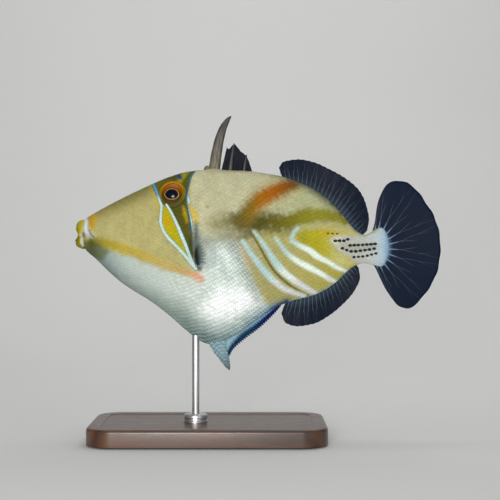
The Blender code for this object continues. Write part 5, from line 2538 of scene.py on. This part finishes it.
@dataclass
class Stand:
    """A waxed wood base on felt, a steel rod and a chamfered collar with a set screw."""

    length: float = 128
    width: float = 72
    height: float = 10
    centre_x: float = -27
    corner: float = 14
    arris: float = 1.6
    groove: tuple[Pair, ...] = ((5, 0), (0.5, 0), (0.6, -0.45))
    felt: float = 0.9
    felt_margin: float = 2
    rod_x: float = -34
    rod_radius: float = 2
    rod_top: float = 57
    collar_radius: float = 6.5
    collar_height: float = 4
    screw_radius: float = 0.95
    screw_rise: float = 1.7

    def build(self, effects: SharedEffects) -> None:
        """Makes and dresses the stand.

        Args:
            effects: the shared shader groups.
        """
        metal = MetalFinish().build()
        base = self.block("stand_plate", 0, self.felt, self.height)
        self.bevel(base, self.arris, 5, lambda face: face.normal.z > 0.9)
        self.inset(base, lambda face: face.normal.z > 0.999 and face.area > 1e-4, *self.groove)
        self.soften(base)
        finish_piece(base, Slot.WOOD, WoodFinish().build(), "stand_base")
        pad = self.block("stand_felt_pad", self.felt_margin, 0, self.felt + 0.05)
        finish_piece(pad, Slot.WOOD, FeltFinish().build(effects))
        rod = self.turned("stand_steel_rod", self.rod_radius, self.height + 0.2, self.rod_top, 48, 0.3)
        self.soften(rod)
        finish_piece(rod, Slot.METAL, metal, "stand_rod")
        top = self.height + self.collar_height
        collar = self.turned("stand_steel_collar", self.collar_radius, self.height - 0.4, top, 64, 1.2)
        self.inset(collar, lambda face: abs(face.normal.z) < 0.1 and face.area > 1e-7, (0.7, 0),
                   (0.25, -0.25))
        self.soften(collar)
        finish_piece(collar, Slot.METAL, metal, "stand_collar")
        finish_piece(self.screw(), Slot.METAL, metal)

    @staticmethod
    def bevel(piece: Piece, size: float, segments: int, chosen: Callable, mode: str = "FACE") -> None:
        """Rounds the edges of some faces.

        Args:
            piece: the mesh object.
            size: the bevel's width in mm.
            segments: its steps.
            chosen: says which faces or edges.
            mode: FACE or EDGE.
        """
        edit(piece, chosen, mode)
        bpy.ops.mesh.bevel(offset=size * MM, segments=segments, affect="EDGES")
        leave_edit()

    @staticmethod
    def inset(piece: Piece, chosen: Callable, *steps: Pair) -> None:
        """Insets some faces as one, several times.

        Args:
            piece: the mesh object.
            chosen: says which faces.
            steps: each inset's thickness and depth in mm.
        """
        edit(piece, chosen)
        for thickness, depth in steps:
            bpy.ops.mesh.inset(thickness=thickness * MM, depth=depth * MM)
        leave_edit()

    @staticmethod
    def soften(piece: Piece) -> None:
        """Shades a piece smooth but for its sharp edges.

        Args:
            piece: the mesh object.
        """
        piece.data.shade_smooth()
        pick(piece)
        bpy.ops.object.shade_smooth_by_angle(angle=SHARP_EDGE)

    def block(self, name: str, margin: float, bottom: float, top: float) -> Piece:
        """A flat block with rounded corners.

        Args:
            name: the piece's name.
            margin: how far it stays inside the base's outline.
            bottom, top: its heights.

        Returns:
            The new object.
        """
        deselect()
        middle = Vector((self.centre_x, 0, (bottom + top) / 2))
        bpy.ops.mesh.primitive_cube_add(size=1, location=middle * MM)
        made = added(name)
        made.scale = Vector((self.length - 2 * margin, self.width - 2 * margin, top - bottom)) * MM
        settle(made)
        points = made.data.vertices

        def upright(edge: bpy.types.MeshEdge) -> bool:
            """Whether an edge stands upright."""
            first, second = (points[i].co for i in edge.vertices)
            return abs(first.z - second.z) > 0.1 * MM

        self.bevel(made, self.corner, 12, upright, "EDGE")
        return made

    def turned(self, name: str, radius: float, bottom: float, top: float, sides: int,
               chamfer: float) -> Piece:
        """A round bar on the rod's axis, chamfered at its top.

        Args:
            name: the piece's name.
            radius: its radius.
            bottom, top: its heights.
            sides: how many sides it has.
            chamfer: the chamfer's width.

        Returns:
            The new object.
        """
        deselect()
        middle = Vector((self.rod_x, 0, (bottom + top) / 2))
        depth = (top - bottom) * MM
        bpy.ops.mesh.primitive_cylinder_add(vertices=sides, radius=radius * MM, depth=depth,
                                            location=middle * MM)
        made = added(name)
        settle(made)
        self.bevel(made, chamfer, 3, lambda face: face.normal.z > 0.9)
        return made

    def screw(self) -> Piece:
        """The collar's set screw, with a round socket sunk in its face.

        Returns:
            The new object.
        """
        deselect()
        place = Vector((self.rod_x, 0.75 - self.collar_radius, self.height + self.screw_rise))
        bpy.ops.mesh.primitive_cylinder_add(vertices=24, radius=self.screw_radius * MM, depth=1.2 * MM,
                                            rotation=(math.pi / 2, 0, 0), location=place * MM)
        piece = added("stand_set_screw")
        settle(piece)
        self.inset(piece, lambda face: face.normal.y < -0.9, (0.42, 0), (0.02, -0.6))
        return piece


@dataclass(frozen=True)
class Lamp:
    """A round soft light: its place, size and aim are in metres, and its power is in watts."""

    name: str
    place: Triple
    size: float
    power: float
    colour: Colour
    aim: Triple | None = None

    def hang(self, target: Vector) -> None:
        """Hangs the light.

        Args:
            target: where it points if it has no aim of its own.
        """
        data = bpy.data.lights.new(self.name, "AREA")
        data.shape, data.size, data.energy, data.color = "DISK", self.size, self.power, self.colour
        made = bpy.data.objects.new(self.name, data)
        made.location = self.place
        away = Vector(self.place) - Vector(self.aim or target)
        made.rotation_euler = away.to_track_quat("Z", "Y").to_euler()
        bpy.context.scene.collection.objects.link(made)


@dataclass
class Studio:
    """A pale sweep of floor and wall, soft lights, and the camera."""

    pixel: float = 0.5476
    frame_pixels: int = 500
    view_x: float = -4.3
    view_z: float = 103.4
    lens: float = 85
    sensor: float = 36
    backdrop: Colour = (214, 214, 211)
    lamps: tuple[Lamp, ...] = (
        Lamp("key", (-0.1, -0.8, 0.17), 0.26, 5.2, (1, 0.99, 0.97)),
        Lamp("fill", (0.5, -0.6, 0.1), 0.5, 0.7, (0.93, 0.97, 1)),
        Lamp("top", (0.02, -0.05, 0.8), 0.5, 0.6, (1, 1, 1)),
        Lamp("rim", (0.25, 0.35, 0.75), 0.4, 0.9, (0.95, 0.98, 1)),
        Lamp("wall", (0, 0.3, 1.3), 1.2, 9, (1, 1, 1), (0, 2.2, 0.3)),
    )
    room_light: float = 0.24

    def build(self) -> None:
        """Makes the sweep, the lights and the camera."""
        scene = bpy.context.scene
        scene.view_settings.view_transform = "Standard"
        self.sweep()
        distance = self.frame_pixels * self.pixel * self.lens / self.sensor
        data = bpy.data.cameras.new("camera")
        data.lens, data.sensor_width, data.clip_start = self.lens, self.sensor, 0.01
        camera = bpy.data.objects.new("camera", data)
        camera.location = Vector((self.view_x, -distance, self.view_z)) * MM
        camera.rotation_euler = (math.pi / 2, 0, 0)
        scene.collection.objects.link(camera)
        scene.camera = camera
        for lamp in self.lamps:
            lamp.hang(Vector((self.view_x, 0, self.view_z)) * MM)
        scene.world = bpy.data.worlds.new("soft room")
        scene.world.use_nodes = True
        background = scene.world.node_tree.nodes["Background"]
        background.inputs["Color"].default_value = (0.9, 0.93, 1, 1)
        background.inputs["Strength"].default_value = self.room_light

    def sweep(self) -> None:
        """The floor, bent up into a wall behind."""
        deselect()
        bpy.ops.mesh.primitive_plane_add(size=1)
        floor = added("studio_sweep")
        floor.scale = (9, 5, 1)
        floor.location = (0, -1.3, 0)
        settle(floor)
        points = floor.data.vertices
        edit(floor, lambda edge: all(points[i].co.y > 1 for i in edge.vertices), "EDGE")
        bpy.ops.mesh.extrude_region_move(TRANSFORM_OT_translate={"value": (0, 0, 3.5)})
        leave_edit()
        points = floor.data.vertices
        edit(floor, lambda edge: all(points[i].co.y > 1 and points[i].co.z < 0.1 for i in edge.vertices),
             "EDGE")
        bpy.ops.mesh.bevel(offset=0.8, segments=24, affect="EDGES")
        leave_edit()
        floor.data.shade_smooth()
        made = Finish("studio paper", (0.7, 0.7, 0.7), Roughness=0.9)
        pale = paint(*self.backdrop)
        paper = made.mix(made.noise(made.place(), 30), pale, pale * 0.985)
        floor.data.materials.append(made.give(Base_Color=paper))


@dataclass
class Fish:
    """The fish, put together from its parts."""

    dorsal_root: Points = ((14, 140.5), (27, 134), (40, 124.5), (49.5, 114.5), (55.5, 109.5))
    dorsal_edge: Points = (
        (11.6, 148.6), (13.9, 151.8), (22.5, 153.2), (30.7, 151.6), (37.6, 148.5), (48.1, 142.6), (55.7, 136),
        (59.4, 128.4), (61, 120.4), (59.9, 114.2),
    )
    anal_root: Points = ((16, 77.5), (28, 80.5), (40, 86.5), (52.5, 97))
    anal_edge: Points = (
        (12.9, 68.5), (15, 63.6), (21.5, 61.6), (30.2, 62.8), (38.6, 67), (47, 74), (53, 81.4), (55.9, 88.6),
        (55.2, 93.4),
    )
    tail_root: Points = ((62.5, 112.5), (66.5, 109.5), (68, 105), (66.5, 100.5), (62.5, 97))
    tail_edge: Points = (
        (64.6, 119), (65.2, 126.6), (67.2, 133.4), (71.1, 139.6), (75.6, 141.7), (81.6, 140.6), (86.8, 136.8),
        (91.6, 130.2), (96.6, 121.8), (99.2, 113.3), (100, 105.1), (99.4, 96.6), (97.2, 88.6), (92.8, 80.6),
        (87.4, 74.2), (82.3, 70.9), (77.4, 72.6), (73.4, 77), (68.6, 84.6), (65.4, 92),
    )
    fan_root: Points = ((0, 4.6), (0, 0), (0, -4.6))
    fan_edge: Points = ((4, 6.4), (11, 9.6), (15.4, 7.4), (17.2, 2), (16.4, -4), (12.4, -8.2), (4.5, -6.6))
    fan_place: Pair = (-36.2, 100.4)
    fan_outward: float = math.radians(33)
    fan_droop: float = math.radians(8)
    fan_lean: float = math.radians(-16)
    fan_sink: float = 3

    def fan_frame(self, form: BodyForm, side: Side) -> Matrix:
        """Where a pectoral fin's plane lies.

        Args:
            form: the body's shape.
            side: its flank.

        Returns:
            Its place and turn.
        """
        x, z = self.fan_place
        sign = side.value
        ring = form.half_ring(*form.section(x))
        flank = float(np.interp(-z, -ring[:, 2], ring[:, 1]))
        origin = Vector((x, sign * (flank - self.fan_sink), z))
        turn = Matrix.Rotation(sign * self.fan_outward, 4, "Z") @ Matrix.Rotation(self.fan_droop, 4, "Y")
        return Matrix.Translation(origin) @ turn @ Matrix.Rotation(self.fan_lean, 4, "Y")

    def build(self, effects: SharedEffects) -> None:
        """Makes every part of the fish.

        Args:
            effects: the shared shader groups.
        """
        form = BodyForm()
        flank = Flank(form, Relief())
        markings = Markings()
        Skin(flank).build(markings, SkinFinish().build(effects))
        ScaleCoat(flank).build(markings, ScaleFinish().build(effects))
        Eyes().build(EyeFinish().build())
        Teeth().build(BonyFinish("tooth", (212, 200, 172), (232, 226, 208), 0.9, 0.05, 0.15).build(effects))
        self.build_fins(form, effects)
        spiny = SpinyParts(flank, effects)
        spiny.build_dorsal()
        spiny.build_pelvis()
        spiny.build_thorns()

    def build_fins(self, form: BodyForm, effects: SharedEffects) -> None:
        """Makes the soft fins.

        Args:
            form: the body's shape.
            effects: the shared shader groups.
        """
        tail = MembraneFinish("tail membrane", (14, 24, 42), (120, 158, 190), (1.4, 1.06), (0.03, 0.2))
        tail_rays = BonyFinish("tail rays", (118, 150, 176), (26, 38, 58), 0.8, 0.05, reach=(0.05, 0.38))
        soft = MembraneFinish("soft fin membrane", (16, 24, 38), (34, 48, 60), (1.3, 1),
                              (0.2, 0.5)).build(effects)
        rays = BonyFinish("fin rays", (58, 76, 92), (26, 36, 52), 0.8, 0.05).build(effects)
        fan = MembraneFinish("pectoral membrane", (150, 166, 170), (110, 126, 134),
                             (0.16, 0.07)).build(effects)
        fan_rays = BonyFinish("pectoral rays", (150, 164, 168), (206, 214, 212), 0.8, 0.02).build(effects)
        Fin("second_dorsal", "dorsal_fin", self.dorsal_root, self.dorsal_edge, 25, 1.2).build(soft, rays)
        Fin("anal_fin", "anal_fin", self.anal_root, self.anal_edge, 22, -1.2).build(soft, rays)
        Fin("tail_fin", "tail_fin", self.tail_root, self.tail_edge, 14, 1.4, across=10, ray_size=(0.5, 0.12),
            forks=(0.3, 0.6)).build(tail.build(effects), tail_rays.build(effects))
        for side in Side:
            name = side.name.lower()
            Fin(f"pectoral_{name}", f"pectoral_fin_{name}", self.fan_root, self.fan_edge, 14, 0.5,
                self.fan_frame(form, side), (0.15, 0.05), 0.04, 0.1).build(fan, fan_rays)


def main() -> None:
    """Builds the fish, its stand and the studio."""
    logging.basicConfig(level=logging.INFO, format="%(message)s")
    effects = SharedEffects()
    Fish().build(effects)
    Stand().build(effects)
    Studio().build()


if __name__ == "__main__":
    main()
